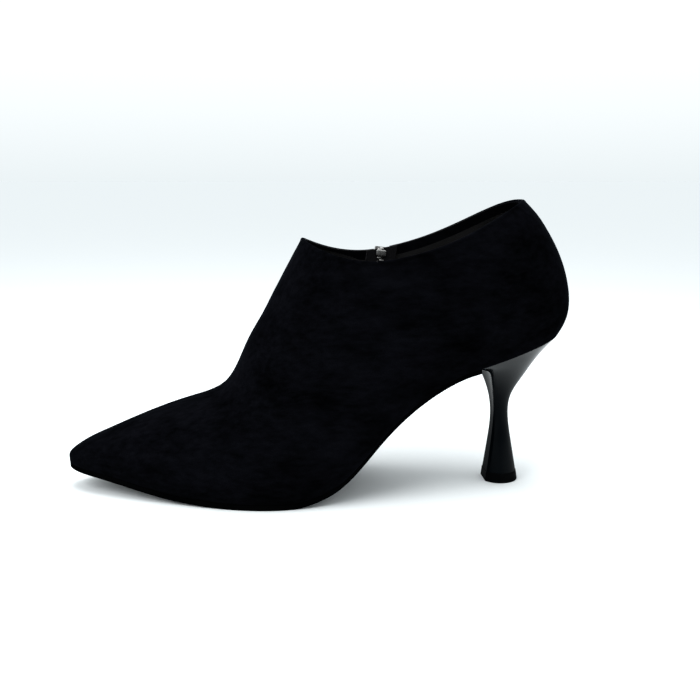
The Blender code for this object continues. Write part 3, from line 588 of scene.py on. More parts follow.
def make_piece(name, points, faces, material, body="boot", sharp=SHARP, uv=None):
    """Object from points in mm and faces of corner numbers, welded, turned outwards and shaded smooth."""
    mesh = bpy.data.meshes.new(name)
    faces = [list(map(int, face)) for face in faces]
    mesh.from_pydata(placed(points).reshape(-1, 3), [], faces)
    if uv is not None:
        corners = np.zeros(len(mesh.loops), int)
        mesh.loops.foreach_get("vertex_index", corners)
        layer = mesh.uv_layers.new(name="pattern")
        layer.data.foreach_set("uv", np.asarray(uv, float).reshape(-1, 2)[corners].ravel())
    bm = bmesh.new()
    bm.from_mesh(mesh)
    bmesh.ops.remove_doubles(bm, verts=bm.verts, dist=WELD * MM)
    bmesh.ops.recalc_face_normals(bm, faces=bm.faces)
    bm.to_mesh(mesh)
    bm.free()
    mesh.shade_smooth()
    mesh.set_sharp_from_angle(angle=math.radians(sharp))
    mesh.materials.append(material)
    piece = add_object(name, mesh)
    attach(piece, body)
    return piece


def stack(name, loops, material, sharp=SHARP):
    """Closed body through loops of equal length, with one face over each end."""
    rows, columns = loops.shape[:2]
    first = np.arange(columns)
    last = first + (rows - 1) * columns
    faces = loop_quads(rows, columns).tolist() + [first[::-1], last]
    return make_piece(name, loops, faces, material, sharp=sharp)


def sweep(name, path, side, up, outline, material):
    """Outline of offsets a, b carried along a path: each point is path + a side + b up, with flat ends."""
    a, b = outline[None, :, :1], outline[None, :, 1:]
    return stack(name, path[:, None] + a * side[:, None] + b * up[:, None], material)


class Socket:
    """An output socket of a material's nodes; arithmetic on it adds Math nodes."""

    def __init__(self, recipe, output):
        self.recipe = recipe
        self.output = output

    def math(self, operation, first, second):
        """Math node with the given operation on two values."""
        return self.recipe.add("ShaderNodeMath", {"operation": operation}, {0: first, 1: second})

    def __add__(self, other):
        return self.math("ADD", self, other)

    def __radd__(self, other):
        return self.math("ADD", other, self)

    def __sub__(self, other):
        return self.math("SUBTRACT", self, other)

    def __rsub__(self, other):
        return self.math("SUBTRACT", other, self)

    def __mul__(self, other):
        return self.math("MULTIPLY", self, other)

    def __rmul__(self, other):
        return self.math("MULTIPLY", other, self)


class Recipe:
    """One material, or the surroundings: its shader's constants, and the nodes that vary over it."""

    def __init__(self, name, shader="Principled BSDF", **constants):
        library = bpy.data.worlds if shader == "Background" else bpy.data.materials
        self.holder = library.new(name)
        self.holder.use_nodes = True
        self.nodes = self.holder.node_tree.nodes
        self.links = self.holder.node_tree.links
        self.shader = self.nodes[shader]
        self.set(**constants)

    def plug(self, socket, value):
        """Link or set one input socket."""
        if isinstance(value, Socket):
            self.links.new(value.output, socket)
        elif isinstance(value, tuple) and socket.type == "RGBA":
            socket.default_value = (*value, 1.0)
        else:
            socket.default_value = value

    def add(self, kind, settings, sockets, output=0):
        """Node of a kind, its settings first, then the values or links of its sockets; gives one output."""
        node = self.nodes.new(kind)
        for key, value in settings.items():
            setattr(node, key, value)
        for key, value in sockets.items():
            self.plug(node.inputs[key], value)
        return Socket(self, node.outputs[output])

    def set(self, **values):
        """Set a shader's inputs by name, or feed what varies over the surface into them."""
        for key, value in values.items():
            self.plug(self.shader.inputs[key.replace("_", " ").title().replace("Ior", "IOR")], value)

    def place(self, stretch=(1.0, 1.0, 1.0), turn=(0.0, 0.0, 0.0), pattern=False):
        """Object coordinates, or the piece's own map, stretched and turned."""
        source = self.add("ShaderNodeTexCoord", {}, {}, output="UV" if pattern else "Object")
        return self.add("ShaderNodeMapping", {}, {"Vector": source, "Scale": stretch, "Rotation": turn})

    def part(self, vector, axis):
        """One coordinate of a vector: X, Y or Z."""
        return self.add("ShaderNodeSeparateXYZ", {}, {0: vector}, output=axis)

    def noise(self, scale, detail=3.0, roughness=0.55, place=None):
        """Noise of about 0 to 1 with features of 1 / scale metres."""
        place = place or self.place()
        return self.add("ShaderNodeTexNoise", {}, {"Vector": place, "Scale": scale, "Detail": detail,
                                                   "Roughness": roughness})

    def pores(self, scale, wide):
        """Cells of a leather's grain, 1 / scale metres across: 0 at their edges, 1 from wide on."""
        edges = self.add("ShaderNodeTexVoronoi", {"feature": "DISTANCE_TO_EDGE"},
                         {"Vector": self.place(), "Scale": scale})
        return self.band(edges, low=0.0, high=wide)

    def band(self, value, low, high):
        """A value mapped from low..high to 0..1 and clamped."""
        return self.add("ShaderNodeMapRange", {"clamp": True},
                        {"Value": value, "From Min": low, "From Max": high})

    def blend(self, share, first, second):
        """Colour between two colours."""
        return self.add("ShaderNodeMix", {"data_type": "RGBA"}, {0: share, 6: first, 7: second}, output=2)

    def bump(self, height, strength, distance):
        """Bump of a height, its distance in mm, into the shader's normal."""
        self.set(normal=self.add("ShaderNodeBump", {}, {"Height": height, "Strength": strength,
                                                        "Distance": distance * MM}))


def suede():
    """Black suede with a soft bluish sheen: its nap adds up brushed patches, strokes and short fibres."""
    skin = Recipe("black suede", specular_ior_level=0.0, sheen_weight=0.022, sheen_roughness=0.3,
                  sheen_tint=(0.72, 0.84, 1.0))
    deep, lit = (0.0005, 0.0006, 0.0008), (0.0042, 0.0044, 0.0060)
    brushed = skin.place(stretch=(0.35, 1.0, 1.0), turn=(0.0, 0.5, 0.0))
    patches = skin.noise(34.0, detail=4.0, roughness=0.6, place=skin.place(stretch=(0.8, 1.2, 1.6)))
    strokes = skin.noise(420.0, roughness=0.6, place=brushed)
    fibres = skin.noise(2600.0, detail=4.0, roughness=0.7)
    nap = skin.band(0.5 * patches + 0.3 * strokes + 0.2 * fibres, low=0.38, high=0.62)
    skin.set(base_color=skin.blend(nap, deep, lit), roughness=0.86 + 0.12 * nap)
    skin.bump(0.65 * fibres + 0.35 * strokes, strength=0.55, distance=0.22)
    return skin.holder


def lining():
    """Black lining leather with a fine pore grain and soft scuffs."""
    skin = Recipe("black lining leather", specular_ior_level=0.2)
    dark, scuffed = (0.0050, 0.0050, 0.0054), (0.0095, 0.0093, 0.0098)
    cells = skin.pores(1100.0, wide=0.22)
    scuffs = skin.band(skin.noise(45.0, detail=4.0, roughness=0.6), low=0.35, high=0.7)
    skin.set(base_color=skin.blend(scuffs, dark, scuffed), roughness=0.62 - 0.1 * cells)
    skin.bump(cells, strength=0.3, distance=0.1)
    return skin.holder


def sock():
    """Dark grey sock leather with grain and the dull patches of handling."""
    skin = Recipe("grey sock leather", specular_ior_level=0.4)
    dark, handled = (0.030, 0.029, 0.029), (0.046, 0.044, 0.043)
    cells = skin.pores(800.0, wide=0.25)
    dull = skin.band(skin.noise(28.0), low=0.35, high=0.65)
    skin.set(base_color=skin.blend(dull, dark, handled), roughness=0.5 + 0.18 * dull)
    skin.bump(cells, strength=0.4, distance=0.12)
    return skin.holder


def sole():
    """Smooth black sole: faint grain, fine scratches along it and a worn bloom."""
    skin = Recipe("black sole", specular_ior_level=0.0)
    black, worn = (0.0008, 0.0009, 0.0011), (0.0026, 0.0027, 0.0030)
    bloom = skin.band(skin.noise(40.0, detail=4.0, roughness=0.6), low=0.35, high=0.7)
    scratches = skin.noise(900.0, detail=2.0, roughness=0.5, place=skin.place(stretch=(0.08, 1.0, 1.0)))
    grain = skin.noise(2200.0, roughness=0.6)
    skin.set(base_color=skin.blend(bloom, black, worn), roughness=0.42 + 0.14 * bloom + 0.08 * scratches)
    skin.bump(0.5 * grain + 0.5 * scratches, strength=0.22, distance=0.1)
    return skin.holder


def lacquer():
    """Black lacquer: a clear coat with a sprayed ripple and a few specks.

    The coat is thickest on the cup, where it grows with the square of the height, and thicker on the rear
    and on the cup's breast than on the sides.
    """
    skin = Recipe("black lacquer", specular_ior_level=0.0, coat_roughness=0.16, coat_ior=1.5)
    black, speck = (0.0006, 0.0016, 0.0026), (0.0016, 0.0026, 0.0036)
    neck_up, seat_up = 30 * MM, 66 * MM
    ripple = skin.noise(160.0, detail=2.0, roughness=0.4)
    specks = skin.band(skin.noise(1800.0, detail=2.0, roughness=0.5), low=0.6, high=0.75)
    backwards = skin.part(skin.add("ShaderNodeNewGeometry", {}, {}, output="Normal"), "X")
    breast = skin.band(backwards, low=-0.5, high=-0.8)
    rear = skin.band(backwards, low=-0.1, high=0.7)
    cup = skin.band(skin.part(skin.place(), "Z"), low=neck_up, high=seat_up)
    coat = 0.09 + 0.12 * rear + 0.7 * cup * cup + 0.3 * breast * cup - 0.01 * specks
    skin.set(base_color=skin.blend(specks, black, speck), roughness=0.22 + 0.06 * ripple, coat_weight=coat)
    skin.bump(ripple, strength=0.05, distance=0.3)
    return skin.holder


def tip():
    """Matt black moulded top piece with a fine texture."""
    skin = Recipe("black tip rubber", specular_ior_level=0.015)
    black, scuffed = (0.0016, 0.0018, 0.0022), (0.0040, 0.0042, 0.0046)
    grit = skin.noise(1500.0, roughness=0.6)
    scuffs = skin.band(skin.noise(120.0, roughness=0.6), low=0.45, high=0.7)
    skin.set(base_color=skin.blend(scuffs, black, scuffed), roughness=0.48 + 0.15 * grit)
    skin.bump(grit, strength=0.3, distance=0.12)
    return skin.holder


def tape_cloth():
    """Black woven tape: a herringbone, the sine of the way down plus a zigzag of the way across, with
    painted shade in its hollows.
    """
    skin = Recipe("black zip tape", specular_ior_level=0.1, sheen_weight=0.06, sheen_roughness=0.4)
    # The weave's hollows are painted darker than its crests: painted shade that follows the bump of the ribs
    hollow, crest = (0.0025, 0.0025, 0.003), (0.009, 0.009, 0.0105)
    place = skin.place(pattern=True)
    across, down = skin.part(place, "X"), skin.part(place, "Y")
    zigzag = skin.add("ShaderNodeMath", {"operation": "PINGPONG"}, {0: across, 1: WEAVE_STRIPE})
    ribs = skin.add("ShaderNodeMath", {"operation": "SINE"}, {0: (down + zigzag) * WEAVE_TURN})
    painted_weave_shade = skin.band(ribs, low=-1.0, high=1.0)
    skin.set(base_color=skin.blend(painted_weave_shade, hollow, crest), roughness=0.9 - 0.1 * painted_weave_shade)
    skin.bump(painted_weave_shade, strength=0.6, distance=0.15)
    return skin.holder


def thread():
    """Black sewing thread, twisted and a little glossy, with painted shade in the grooves of its twist."""
    skin = Recipe("black thread", specular_ior_level=0.4, sheen_weight=0.15)
    # The twist's noise raises the bump and lightens the colour alike: painted shade in the grooves, painted
    # highlight on the raised strands
    dark, lit = (0.004, 0.004, 0.005), (0.018, 0.018, 0.020)
    strands = skin.place(stretch=(1.0, 1.0, 0.5), turn=(0.6, 0.0, 0.6))
    twist_and_painted_shade = skin.noise(3200.0, detail=2.0, roughness=0.5, place=strands)
    skin.set(base_color=skin.blend(twist_and_painted_shade, dark, lit), roughness=0.5 + 0.2 * twist_and_painted_shade)
    skin.bump(twist_and_painted_shade, strength=0.4, distance=0.06)
    return skin.holder


def silver(name, dull):
    """Silver zip metal of a dullness: plated, with fine tumbling marks and a darker tarnish in patches."""
    skin = Recipe(name, metallic=1.0)
    bright, dark = (0.40, 0.40, 0.395), (0.27, 0.27, 0.265)
    marks = skin.noise(2400.0, roughness=0.6)
    tarnish = skin.band(skin.noise(300.0, roughness=0.6), low=0.4, high=0.7)
    skin.set(base_color=skin.blend(tarnish, bright, dark), roughness=dull + 0.1 * marks + 0.08 * tarnish)
    skin.bump(marks, strength=0.12, distance=0.05)
    return skin.holder


def shell_mesh(wall, depth, thickness, relief=0.0):
    """Points and quads of a closed layer of the wall; its faces meet in a half round at each open edge."""
    drop = rounded(wall.margin, thickness / 2)[..., None]
    outer = wall.points - (depth + drop + relief) * wall.normals
    inner = wall.points - (depth + thickness - drop) * wall.normals
    rows, columns = wall.margin.shape
    quads = grid_quads(rows, columns, skip=wall.split - 1)
    both = np.concatenate([quads, quads[:, ::-1] + rows * columns])
    return np.concatenate([outer.reshape(-1, 3), inner.reshape(-1, 3)]), both


def back_seam(wall):
    """Depth of the back seam, mm: a bell-shaped groove where the rings close, less a ridge beside it."""
    deep, narrow = SEAM_GROOVE
    high, beside, wide = SEAM_RIDGE
    groove = deep * np.exp(-(wall.from_end / narrow) ** 2)
    ridge = high * np.exp(-((wall.from_end - beside) / wide) ** 2)
    return np.where(wall.open_ring, 0.0, groove - ridge)[..., None]


def build_upper():
    """Suede wall over the last with its back seam and rolled rim, and the lining leather inside it."""
    wall = Wall(ring_places())
    skin = suede()
    points, faces = shell_mesh(wall, 0.0, SUEDE, back_seam(wall))
    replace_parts(make_piece("suede_upper", points, faces, skin), "upper")
    build_rim(wall, skin)
    points, faces = shell_mesh(wall, SUEDE + TOUCH, LINING)
    make_piece("lining", points, faces, lining())


def build_rim(wall, skin):
    """Suede rolled over the rim and glued down inside, from one side of the zip round to the other.

    The profile is a half round over the wall with a flat leg down the inside, carried along the collar.
    """
    order = np.concatenate([np.arange(wall.split, wall.v.shape[1]), np.arange(1, wall.split)])
    v = wall.v[-1, order]
    path = last_surface(COLLAR, v)
    out = wall_normal(np.full_like(v, COLLAR), v)
    up = unit(np.cross(np.gradient(path, axis=0), out))
    up *= np.sign(up[:, 2].mean())
    turn = np.linspace(0, math.pi, RIM_STEPS)
    middle = -WALL / 2
    cap = np.column_stack([middle + (WALL / 2 + RIM_PROUD) * np.cos(turn),
                           RIM_TOP * (np.sin(turn) ** RIM_SQUARE - RIM_SUNK)])
    outer_leg = [[-RIM_UNDER, -RIM_LEG], [RIM_PROUD, -RIM_THIN]]
    inner_leg = [[-WALL - RIM_PROUD, -RIM_FACING], [-WALL - RIM_NOSE[0], -RIM_FACING - RIM_NOSE[1]],
                 [middle, -RIM_FACING], [middle, -RIM_LEG]]
    sweep("rolled_rim", path, out, up, np.concatenate([outer_leg, cap, inner_leg]), skin)


def resample(line, count):
    """A line's points, evenly spread along it."""
    run = np.append(0.0, np.cumsum(np.linalg.norm(np.diff(line, axis=0), axis=1)))
    places = np.linspace(0, run[-1], count)
    return np.column_stack([np.interp(places, run, line[:, i]) for i in range(line.shape[1])])


def feather_edge(hand):
    """Outer (-1) or inner (1) feather edge in plan, from the toe to the middle of the seat's back."""
    u = CLOSING * np.sin(np.linspace(0, math.pi / 2, 2 * TRIM_STEPS))
    edge = last_surface(u, hand * feather_turn(u, hand))[:, :2]
    edge[-1, 1] = 0.0
    return edge


FEATHER_EDGES = {hand: feather_edge(hand) for hand in (-1, 1)}


def moved_out(line, hand, out):
    """A feather edge in plan, moved out along its normals by out mm."""
    run = unit(np.gradient(line, axis=0))
    normal = np.column_stack([-hand * run[:, 1], hand * run[:, 0]])
    return line + normal * np.reshape(out, (-1, 1))


def plate(name, outer, inner, top, bottom, material, slot, bulge=0.0):
    """Closed plate between two plan edges that follows the feather line.

    Each station is a closed loop: across the top, round the inner edge by a squared half ellipse, back
    across the bottom and round the outer edge. top and bottom are heights over the feather; bulge crowns
    the top by half a sine.
    """
    share = np.linspace(0, 1, SOLE_ACROSS + 1)
    flat = np.zeros(len(share))
    turn = np.linspace(math.pi / 2, -math.pi / 2, EDGE_TURNS)
    square = signed_power(np.cos(turn), EDGE_SQUARE) * SOLE_EDGE
    rise = signed_power(np.sin(turn), EDGE_SQUARE) * (top - bottom) / 2 + (top + bottom) / 2
    across = np.concatenate([share, np.ones(EDGE_TURNS), share[::-1], np.zeros(EDGE_TURNS)])
    beyond = np.concatenate([flat, square, flat, -square])
    height = np.concatenate([top + bulge * np.sin(math.pi * share), rise, flat + bottom, rise[::-1]])
    span = inner - outer
    wide = np.linalg.norm(span, axis=1, keepdims=True)
    trim = np.minimum(SOLE_EDGE / np.maximum(wide, TINY), 0.5)[:, :, None]
    place = trim + (1 - 2 * trim) * across[None, :, None]
    shrink = np.minimum(wide / (EDGE_ROOM * SOLE_EDGE), 1.0)[:, :, None]
    plan = outer[:, None] + span[:, None] * place + unit(span)[:, None] * beyond[None, :, None] * shrink
    points = np.concatenate([plan, feather_up(plan[..., :1]) + height[None, :, None]], axis=-1)
    return stack(name, points, material)


def build_sole():
    """Thin sole under the forefoot and waist, with the tongue that runs under the front of the heel."""
    stations, lips = np.array(SOLE_LIP).T
    tongue = SEAT_FRONT + TONGUE_SHARE * SEAT_SCOOP
    sides = []
    for hand, edge in FEATHER_EDGES.items():
        line = resample(edge[edge[:, 0] < tongue], SOLE_ALONG)
        sides.append(moved_out(line, hand, np.interp(line[:, 0], stations / 100 * LENGTH, lips)))
    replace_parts(plate("sole", *sides, -TOUCH, -TREAD_UP, sole(), "sole"), "outsole")


def build_sock():
    """Sock that a foot stands on: a crowned plate, inset from the feather edge."""
    sides = [moved_out(resample(edge, SOLE_ALONG), hand, -SOCK_INSET)
             for hand, edge in FEATHER_EDGES.items()]
    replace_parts(plate("sock", *sides, SOCK_THICKNESS, 0.0, sock(), "sock", bulge=SOCK_CROWN), "insole")


def with_breast(side, scoop):
    """A round side closed by its breast: a line between its ends, hollowed to the back by a parabola."""
    share = np.linspace(0, 1, BREAST_STEPS + 1)[1:-1, None]
    line = side[-1] * (1 - share) + side[0] * share
    line[:, 0] += scoop * (1 - (2 * share[:, 0] - 1) ** 2)
    return np.concatenate([side, line])


def heel_outline(front, back, half_width, corner, scoop):
    """Plan outline of one heel level: part of an ellipse, then a breast hollowed by scoop."""
    limit = math.radians(corner)
    turn = np.linspace(-limit, limit, HEEL_AROUND + 1)
    reach = (back - front) / (1 - math.cos(limit))
    side = np.stack([back - reach * (1 - np.cos(turn)), half_width * np.sin(turn)], axis=-1)
    return with_breast(side, scoop)


def seat_outline():
    """Plan outline of the heel's top: the feather edge behind the seat's front."""
    outer, inner = (edge[edge[:, 0] >= SEAT_FRONT] for edge in FEATHER_EDGES.values())
    side = resample(np.concatenate([outer, inner[::-1][1:]]), HEEL_AROUND + 1)
    return with_breast(side, SEAT_SCOOP)


def softened(loops):
    """Loops with each point averaged with its two neighbours, which rounds the breast's edges."""
    for _ in range(HEEL_SOFTEN):
        loops = (np.roll(loops, 1, axis=1) + 2 * loops + np.roll(loops, -1, axis=1)) / 4
    return loops


def build_heel():
    """Lacquered heel: spline loops from the seat by the cup and waist to the base."""
    seat = seat_outline()
    loops = [np.column_stack([seat, feather_up(seat[:, 0]) - TOUCH])]
    for front, front_up, back, back_up, half_width, corner, scoop in HEEL_LEVELS.values():
        plan = heel_outline(front, back, half_width, corner, scoop)
        tilt = (back_up - front_up) / (back - front)
        loops.append(np.column_stack([plan, front_up + tilt * (plan[:, 0] - front)]))
    loops = np.array(loops)
    drop = np.append(0.0, np.cumsum(-np.diff(loops[:, :, 2].mean(axis=1))))
    spans = [np.linspace(a, b, HEEL_DOWN, endpoint=False) for a, b in zip(drop[:-1], drop[1:])]
    levels = np.append(np.concatenate(spans), drop[-1])
    straight = ((loops[1] - loops[0]) / drop[1]).ravel()
    loops = softened(cubic(drop, loops, levels, start=straight))
    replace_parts(stack("lacquer_heel", loops, lacquer()), "heel")


def build_top_piece():
    """Top piece under the heel: loops that widen evenly to its foot, with quarter rounds at both edges."""
    turn = np.linspace(0, math.pi / 2, TIP_TURNS)
    ease = turn[::-1]
    heights = np.concatenate([TIP_HEIGHT - TIP_EASE * (1 - np.sin(ease)), TIP_ROUND * (1 - np.sin(turn))])
    insets = np.concatenate([TIP_EASE * (1 - np.cos(ease)), TIP_ROUND * (1 - np.cos(turn))])
    loops = []
    for up, inset in zip(heights, insets):
        front, back, half = (a + (b - a) * (1 - up / TIP_HEIGHT) for a, b in zip(TIP_TOP, TIP_FOOT))
        plan = heel_outline(front + inset, back - inset, half - inset, BASE_CORNER, 0.0)
        loops.append(np.column_stack([plan, np.full(len(plan), up)]))
    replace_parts(stack("heel_top_piece", softened(np.array(loops)), tip()), "heel_tip")


def inner_wall_at(along, up):
    """Places u, v of the inner side at stations and heights: the nearest of a grid, then Newton steps."""
    grid_u, grid_v = np.meshgrid(np.linspace(SHAFT, COLLAR, SEEK_POINTS),
                                 np.linspace(*SEEK_SPAN, SEEK_POINTS))
    seen = last_surface(grid_u, grid_v)[..., [0, 2]].reshape(-1, 2)
    want = np.stack([along, up], axis=-1)
    best = ((want[..., None, :] - seen) ** 2).sum(axis=-1).argmin(axis=-1)
    u, v = grid_u.ravel()[best], grid_v.ravel()[best]
    du, dv = 0.05, 0.001
    for _ in range(NEWTON_STEPS):
        here = last_surface(u, v)[..., [0, 2]]
        by_u = (last_surface(u + du, v)[..., [0, 2]] - here) / du
        by_v = (last_surface(u, v + dv)[..., [0, 2]] - here) / dv
        miss = want - here
        area = by_u[..., 0] * by_v[..., 1] - by_u[..., 1] * by_v[..., 0]
        u = np.minimum(u + (miss[..., 0] * by_v[..., 1] - miss[..., 1] * by_v[..., 0]) / area, COLLAR)
        v = v + (by_u[..., 0] * miss[..., 1] - by_u[..., 1] * miss[..., 0]) / area
    return u, v


def on_zip(down, across, depth=0.0):
    """Points of the inner side down and across the zip, depth mm inside its face, with their normals."""
    spot = ZIP_TOP + np.asarray(down)[..., None] * ZIP_DOWN + np.asarray(across)[..., None] * ZIP_ACROSS
    u, v = inner_wall_at(spot[..., 0], spot[..., 1])
    out = wall_normal(u, v)
    return last_surface(u, v) - depth * out, out


def zip_frames(down, across, depth):
    """Points on the zip and their axes: across it, down it and out of the wall."""
    points, out = on_zip(down, across, depth)
    ahead, _ = on_zip(np.asarray(down) + ZIP_STEP, across, depth)
    along = unit(ahead - points)
    along = unit(along - (along * out).sum(axis=-1, keepdims=True) * out)
    return points, np.stack([np.cross(along, out), along, out], axis=1)


def build_tape():
    """Two woven tapes behind the slot, one on each side of the teeth: thin closed sheets along the wall."""
    cloth = tape_cloth()
    whole = ZIP_LENGTH + TAPE_END
    share = np.linspace(0, 1, TAPE_ROWS)[:, None]
    split = TAPE_SPLIT * np.clip((1 - share) * whole / TAPE_END - TAPE_JOIN, TAPE_MEET, 1)
    reach = split + (TAPE_WIDTH / 2 - split) * np.linspace(0, 1, TAPE_COLUMNS)[None, :]
    pieces = []
    for name, across in (("zip_tape_front", -reach), ("zip_tape_rear", reach)):
        start = RIM_DROP + RIM_SLANT * across
        down = start + (whole - start) * share
        face, out = on_zip(down, across, WALL + GAP)
        back = face - TAPE_THICKNESS * out
        loops = np.concatenate([face, back[:, ::-1]], axis=1)
        uv = np.stack([np.concatenate([across, across[:, ::-1]], axis=1),
                       np.concatenate([down, down], axis=1)], axis=-1)
        quads = flat_loop_quads(*loops.shape[:2])
        pieces.append(make_piece(name, loops, quads, cloth, uv=uv))
    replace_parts(pieces[0], "zip_tape")


def pebble(rings, sides, power):
    """Unit rounded block: a superellipsoid, with the cosines and sines of its two angles to a power."""
    lat = np.linspace(-math.pi / 2, math.pi / 2, rings + 1)[:, None]
    lon = np.linspace(0, 2 * math.pi, sides, endpoint=False)[None, :]
    girth = signed_power(np.cos(lat), power)
    points = np.stack([girth * signed_power(np.cos(lon), power), girth * signed_power(np.sin(lon), power),
                       signed_power(np.sin(lat), power) * np.ones_like(lon)], axis=-1)
    return points.reshape(-1, 3), loop_quads(rings + 1, sides)


def scatter(name, base, faces, centres, axes, material):
    """Copies of a base shape at centres, its three axes turned to the given vectors."""
    points = centres[:, None] + np.einsum("ka,nac->nkc", base, axes)
    count = len(centres)
    every = (faces[None] + (np.arange(count) * len(base))[:, None, None]).reshape(-1, 4)
    return make_piece(name, points, every, material)


def build_teeth():
    """Closed row of teeth: rounded blocks that reach in from the two sides in turn."""
    down = np.arange(RIM_DROP + TEETH_TOP, ZIP_LENGTH - TEETH_FOOT, TOOTH_PITCH)
    side = np.where(np.arange(len(down)) % 2 == 0, -1.0, 1.0) * TOOTH_OFFSET
    centres, axes = zip_frames(down, side, CHAIN_RECESS + TOOTH_SIZE[2])
    base, faces = pebble(*TOOTH_SHAPE)
    metal = silver("silver teeth", dull=0.3)
    piece = scatter("zip_teeth", base * TOOTH_SIZE, faces, centres, axes, metal)
    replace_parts(piece, "zip_chain")


def build_stitches():
    """Row of stitches round the zip's slot: capsules laid between even steps, half sunk in the suede."""
    reach = SLOT_WIDTH / 2 + STITCH_FROM_SLOT
    straight = np.linspace(STITCH_FROM_RIM, ZIP_LENGTH, STRAIGHT_STEPS)
    beside = np.full(STRAIGHT_STEPS, reach)
    turn = np.linspace(-math.pi / 2, math.pi / 2, TURN_STEPS)[1:-1]
    line = np.column_stack([
        np.concatenate([straight, ZIP_LENGTH + reach * np.cos(turn), straight[::-1]]),
        np.concatenate([-beside, reach * np.sin(turn), beside])])
    count = int(np.linalg.norm(np.diff(line, axis=0), axis=1).sum() / STITCH_PITCH) + 1
    points, out = on_zip(*resample(line, count).T)
    along = unit(points[1:] - points[:-1])
    up = unit(out[:-1] + out[1:])
    axes = np.stack([np.cross(along, up), along, up], axis=1)
    centres = (points[:-1] + points[1:]) / 2 + STITCH_PROUD * up
    base, faces = pebble(*STITCH_SHAPE)
    scatter("zip_stitches", base * STITCH_SIZE, faces, centres, axes, thread())


def slider_frame():
    """Place of the slider, mm, and its axes: across the zip, up it, and out from the wall."""
    point, axes = zip_frames(np.array([SLIDER_FROM_TOP]), np.array([0.0]), 0.0)
    _, down, out = axes[0]
    return point[0], np.cross(-down, out), -down, out


def oval(half_width, half_height, middle, turn, power=1.0):
    """Points of an oval at angles: half_width cos and middle + half_height sin, squared off by a power."""
    return np.column_stack([half_width * signed_power(np.cos(turn), power),
                            middle + half_height * signed_power(np.sin(turn), power)])


def slider_outline():
    """Section of the slider, across and out: half of it from the channel to the crest, then its mirror."""
    turn = np.linspace(0, math.pi / 2, SHOULDER_TURNS)
    shoulder = oval(SLIDER_SHOULDER, SLIDER_SHOULDER, SLIDER_CREST - SLIDER_SHOULDER, turn)
    shoulder[:, 0] += SLIDER_HALF - SLIDER_SHOULDER
    leg = [[CHANNEL_HALF - CHANNEL_BEVEL, CHANNEL_ROOF], [CHANNEL_HALF, CHANNEL_ROOF - CHANNEL_BEVEL],
           [CHANNEL_HALF, -WALL], [SLIDER_HALF - SLIDER_BEVEL, -WALL], [SLIDER_HALF, SLIDER_BEVEL - WALL]]
    half = np.concatenate([leg, shoulder])
    return np.concatenate([half, half[::-1] * np.array([-1.0, 1.0])])


def build_slider():
    """Slider: a channel body, narrowed and rounded by its sections, with its crown, back plate and post."""
    metal = silver("silver slider", dull=0.2)
    origin, across, rise, out = slider_frame()
    outline = slider_outline()
    places, waist, crest = np.array(SLIDER_SECTIONS).T[:, :, None]
    wide, high = np.abs(outline[:, 0]), outline[:, 1]
    outer = (wide > CHANNEL_HALF) | (high > 0)
    narrowed = np.where(outer, np.maximum(waist, NARROWEST / np.maximum(wide, NARROWEST)), 1.0)
    lowered = np.where(high > 0, crest, 1.0)
    section = outline * np.stack([narrowed, lowered], axis=-1)
    loops = origin + section[..., :1] * across + places[..., None] * rise + section[..., 1:] * out
    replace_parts(stack("zip_slider_body", loops, metal, sharp=35.0), "zip_slider")
    build_crown(metal)
    base, faces = pebble(*BLOCK_SHAPE)
    axes = np.array([across, rise, out])
    for name, (size, middle) in SLIDER_BLOCKS.items():
        points = origin + (base * np.array(size) + np.array(middle)) @ axes
        make_piece(name, points, faces, metal)


def build_crown(metal):
    """Crown for the pull: a squared oval bar carried along an arch up the slider, a sine to a power."""
    origin, across, rise, out = slider_frame()
    bend = np.linspace(0, math.pi, CROWN_STEPS)[:, None]
    spine = origin + CROWN_HALF * np.cos(bend) * rise
    spine = spine + (CROWN_FOOT + CROWN_RISE * np.sin(bend) ** CROWN_ARCH) * out
    side = np.tile(across, (CROWN_STEPS, 1))
    facing = np.cross(unit(np.gradient(spine, axis=0)), side)
    turn = np.linspace(0, 2 * math.pi, CROWN_SIDES, endpoint=False)
    bar = oval(*CROWN_BAR, 0.0, turn, CROWN_SQUARE)
    sweep("zip_slider_crown", spine, side, facing, bar, metal)


def tab_mesh(outlines):
    """Points and faces of a flat tab between an outline and its holes, thick and with rounded edges."""
    curve = bpy.data.curves.new("zip_pull_tab", "CURVE")
    curve.dimensions = "2D"
    curve.fill_mode = "BOTH"
    curve.extrude = PULL_HALF - PULL_EDGE
    curve.bevel_depth = PULL_EDGE
    curve.bevel_resolution = 3
    curve.offset = -PULL_EDGE
    for points in outlines:
        spline = curve.splines.new("POLY")
        spline.points.add(len(points) - 1)
        flat = np.column_stack([points, np.zeros(len(points)), np.ones(len(points))])
        spline.points.foreach_set("co", flat.ravel())
        spline.use_cyclic_u = True
    lump = add_object("zip_pull_outline", curve)
    bpy.context.view_layer.update()
    shape = lump.evaluated_get(bpy.context.evaluated_depsgraph_get()).to_mesh()
    local = np.zeros(len(shape.vertices) * 3)
    shape.vertices.foreach_get("co", local)
    faces = [list(face.vertices) for face in shape.polygons]
    bpy.data.objects.remove(lump)
    return local.reshape(-1, 3), faces


def build_pull():
    """Pull tab: a flat plate between two half ovals, with a window for the crown and a small hole."""
    origin, across, rise, out = slider_frame()
    half = np.linspace(0, math.pi, END_STEPS)
    whole = np.linspace(0, 2 * math.pi, HOLE_STEPS, endpoint=False)
    edge = np.concatenate([oval(*PULL_TOP, half), oval(*PULL_FOOT, half + math.pi)])
    local, faces = tab_mesh([edge, oval(*PULL_WINDOW, whole, WINDOW_SQUARE), oval(*PULL_HOLE, whole)])
    pin = origin + PIN_ALONG * rise + PIN_UP * out
    points = pin + local @ np.array([across, rise, out])
    metal = silver("silver pull", dull=0.18)
    piece = make_piece("zip_pull_tab", points, faces, metal, body="zip_pull", sharp=30.0)
    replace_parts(piece, "zip_pull")


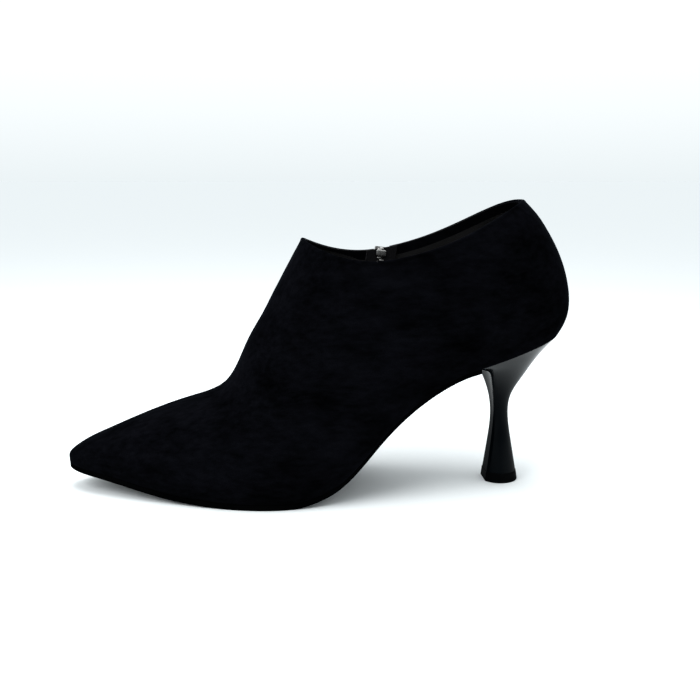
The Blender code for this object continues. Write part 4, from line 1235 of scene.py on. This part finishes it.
def build_stage():
    """Pale studio floor: a flat disc about the boot, out to FLOOR_REACH."""
    turn = np.linspace(0, 2 * math.pi, FLOOR_SIDES, endpoint=False)
    ring = FLOOR_REACH * np.column_stack([np.cos(turn), np.sin(turn), np.zeros(FLOOR_SIDES)])
    mesh = bpy.data.meshes.new("studio_floor")
    mesh.from_pydata(ring, [], [list(range(FLOOR_SIDES))])
    paper = Recipe("pale paper", roughness=0.9, specular_ior_level=0.0)
    paper.set(base_color=paper.blend(paper.noise(300.0, roughness=0.5), *FLOOR_SHADES))
    mesh.materials.append(paper.holder)
    add_object("studio_floor", mesh)


def aimed(thing, place, ahead):
    """Put a light or a camera at a place, metres, looking ahead."""
    thing.location = place
    thing.rotation_euler = ahead.to_track_quat("-Z", "Y").to_euler()


def build_light():
    """Pale surroundings that brighten upwards, a broad light overhead and a weak one at the front left."""
    room = Recipe("pale studio", "Background")
    up = room.part(room.add("ShaderNodeTexCoord", {}, {}, output="Generated"), "Z")
    room.set(color=room.blend(room.band(up, low=0.0, high=ROOM_RISE), ROOM_LOW, ROOM_HIGH))
    bpy.context.scene.world = room.holder
    for name, (place, target, size, watts) in LIGHTS.items():
        lamp = bpy.data.lights.new(name, "AREA")
        lamp.size = size
        lamp.energy = watts
        aimed(add_object(name, lamp), place, Vector(target) - Vector(place))
    bpy.context.scene.view_settings.view_transform = "Standard"
    bpy.context.scene.view_settings.look = "Medium High Contrast"


def build_camera():
    """Camera at the photo's angle: its eye and bearings were found from the picture's own lines."""
    pitch, yaw = math.radians(PITCH), math.radians(YAW)
    ahead = Vector((math.sin(yaw) * math.cos(pitch), math.cos(yaw) * math.cos(pitch), -math.sin(pitch)))
    lens = bpy.data.cameras.new("photo_camera")
    lens.sensor_width = SENSOR
    lens.lens = SENSOR * LENS_PIXELS / PICTURE_PIXELS
    lens.clip_start = NEAREST
    camera = add_object("photo_camera", lens)
    aimed(camera, Vector(EYE) * MM, ahead)
    bpy.context.scene.camera = camera


def build_boot():
    """Dress every solid of the boot."""
    build_upper()
    build_stitches()
    build_sole()
    build_sock()
    build_heel()
    build_top_piece()
    build_tape()
    build_teeth()
    build_slider()
    build_pull()


build_boot()
build_stage()
build_light()
build_camera()
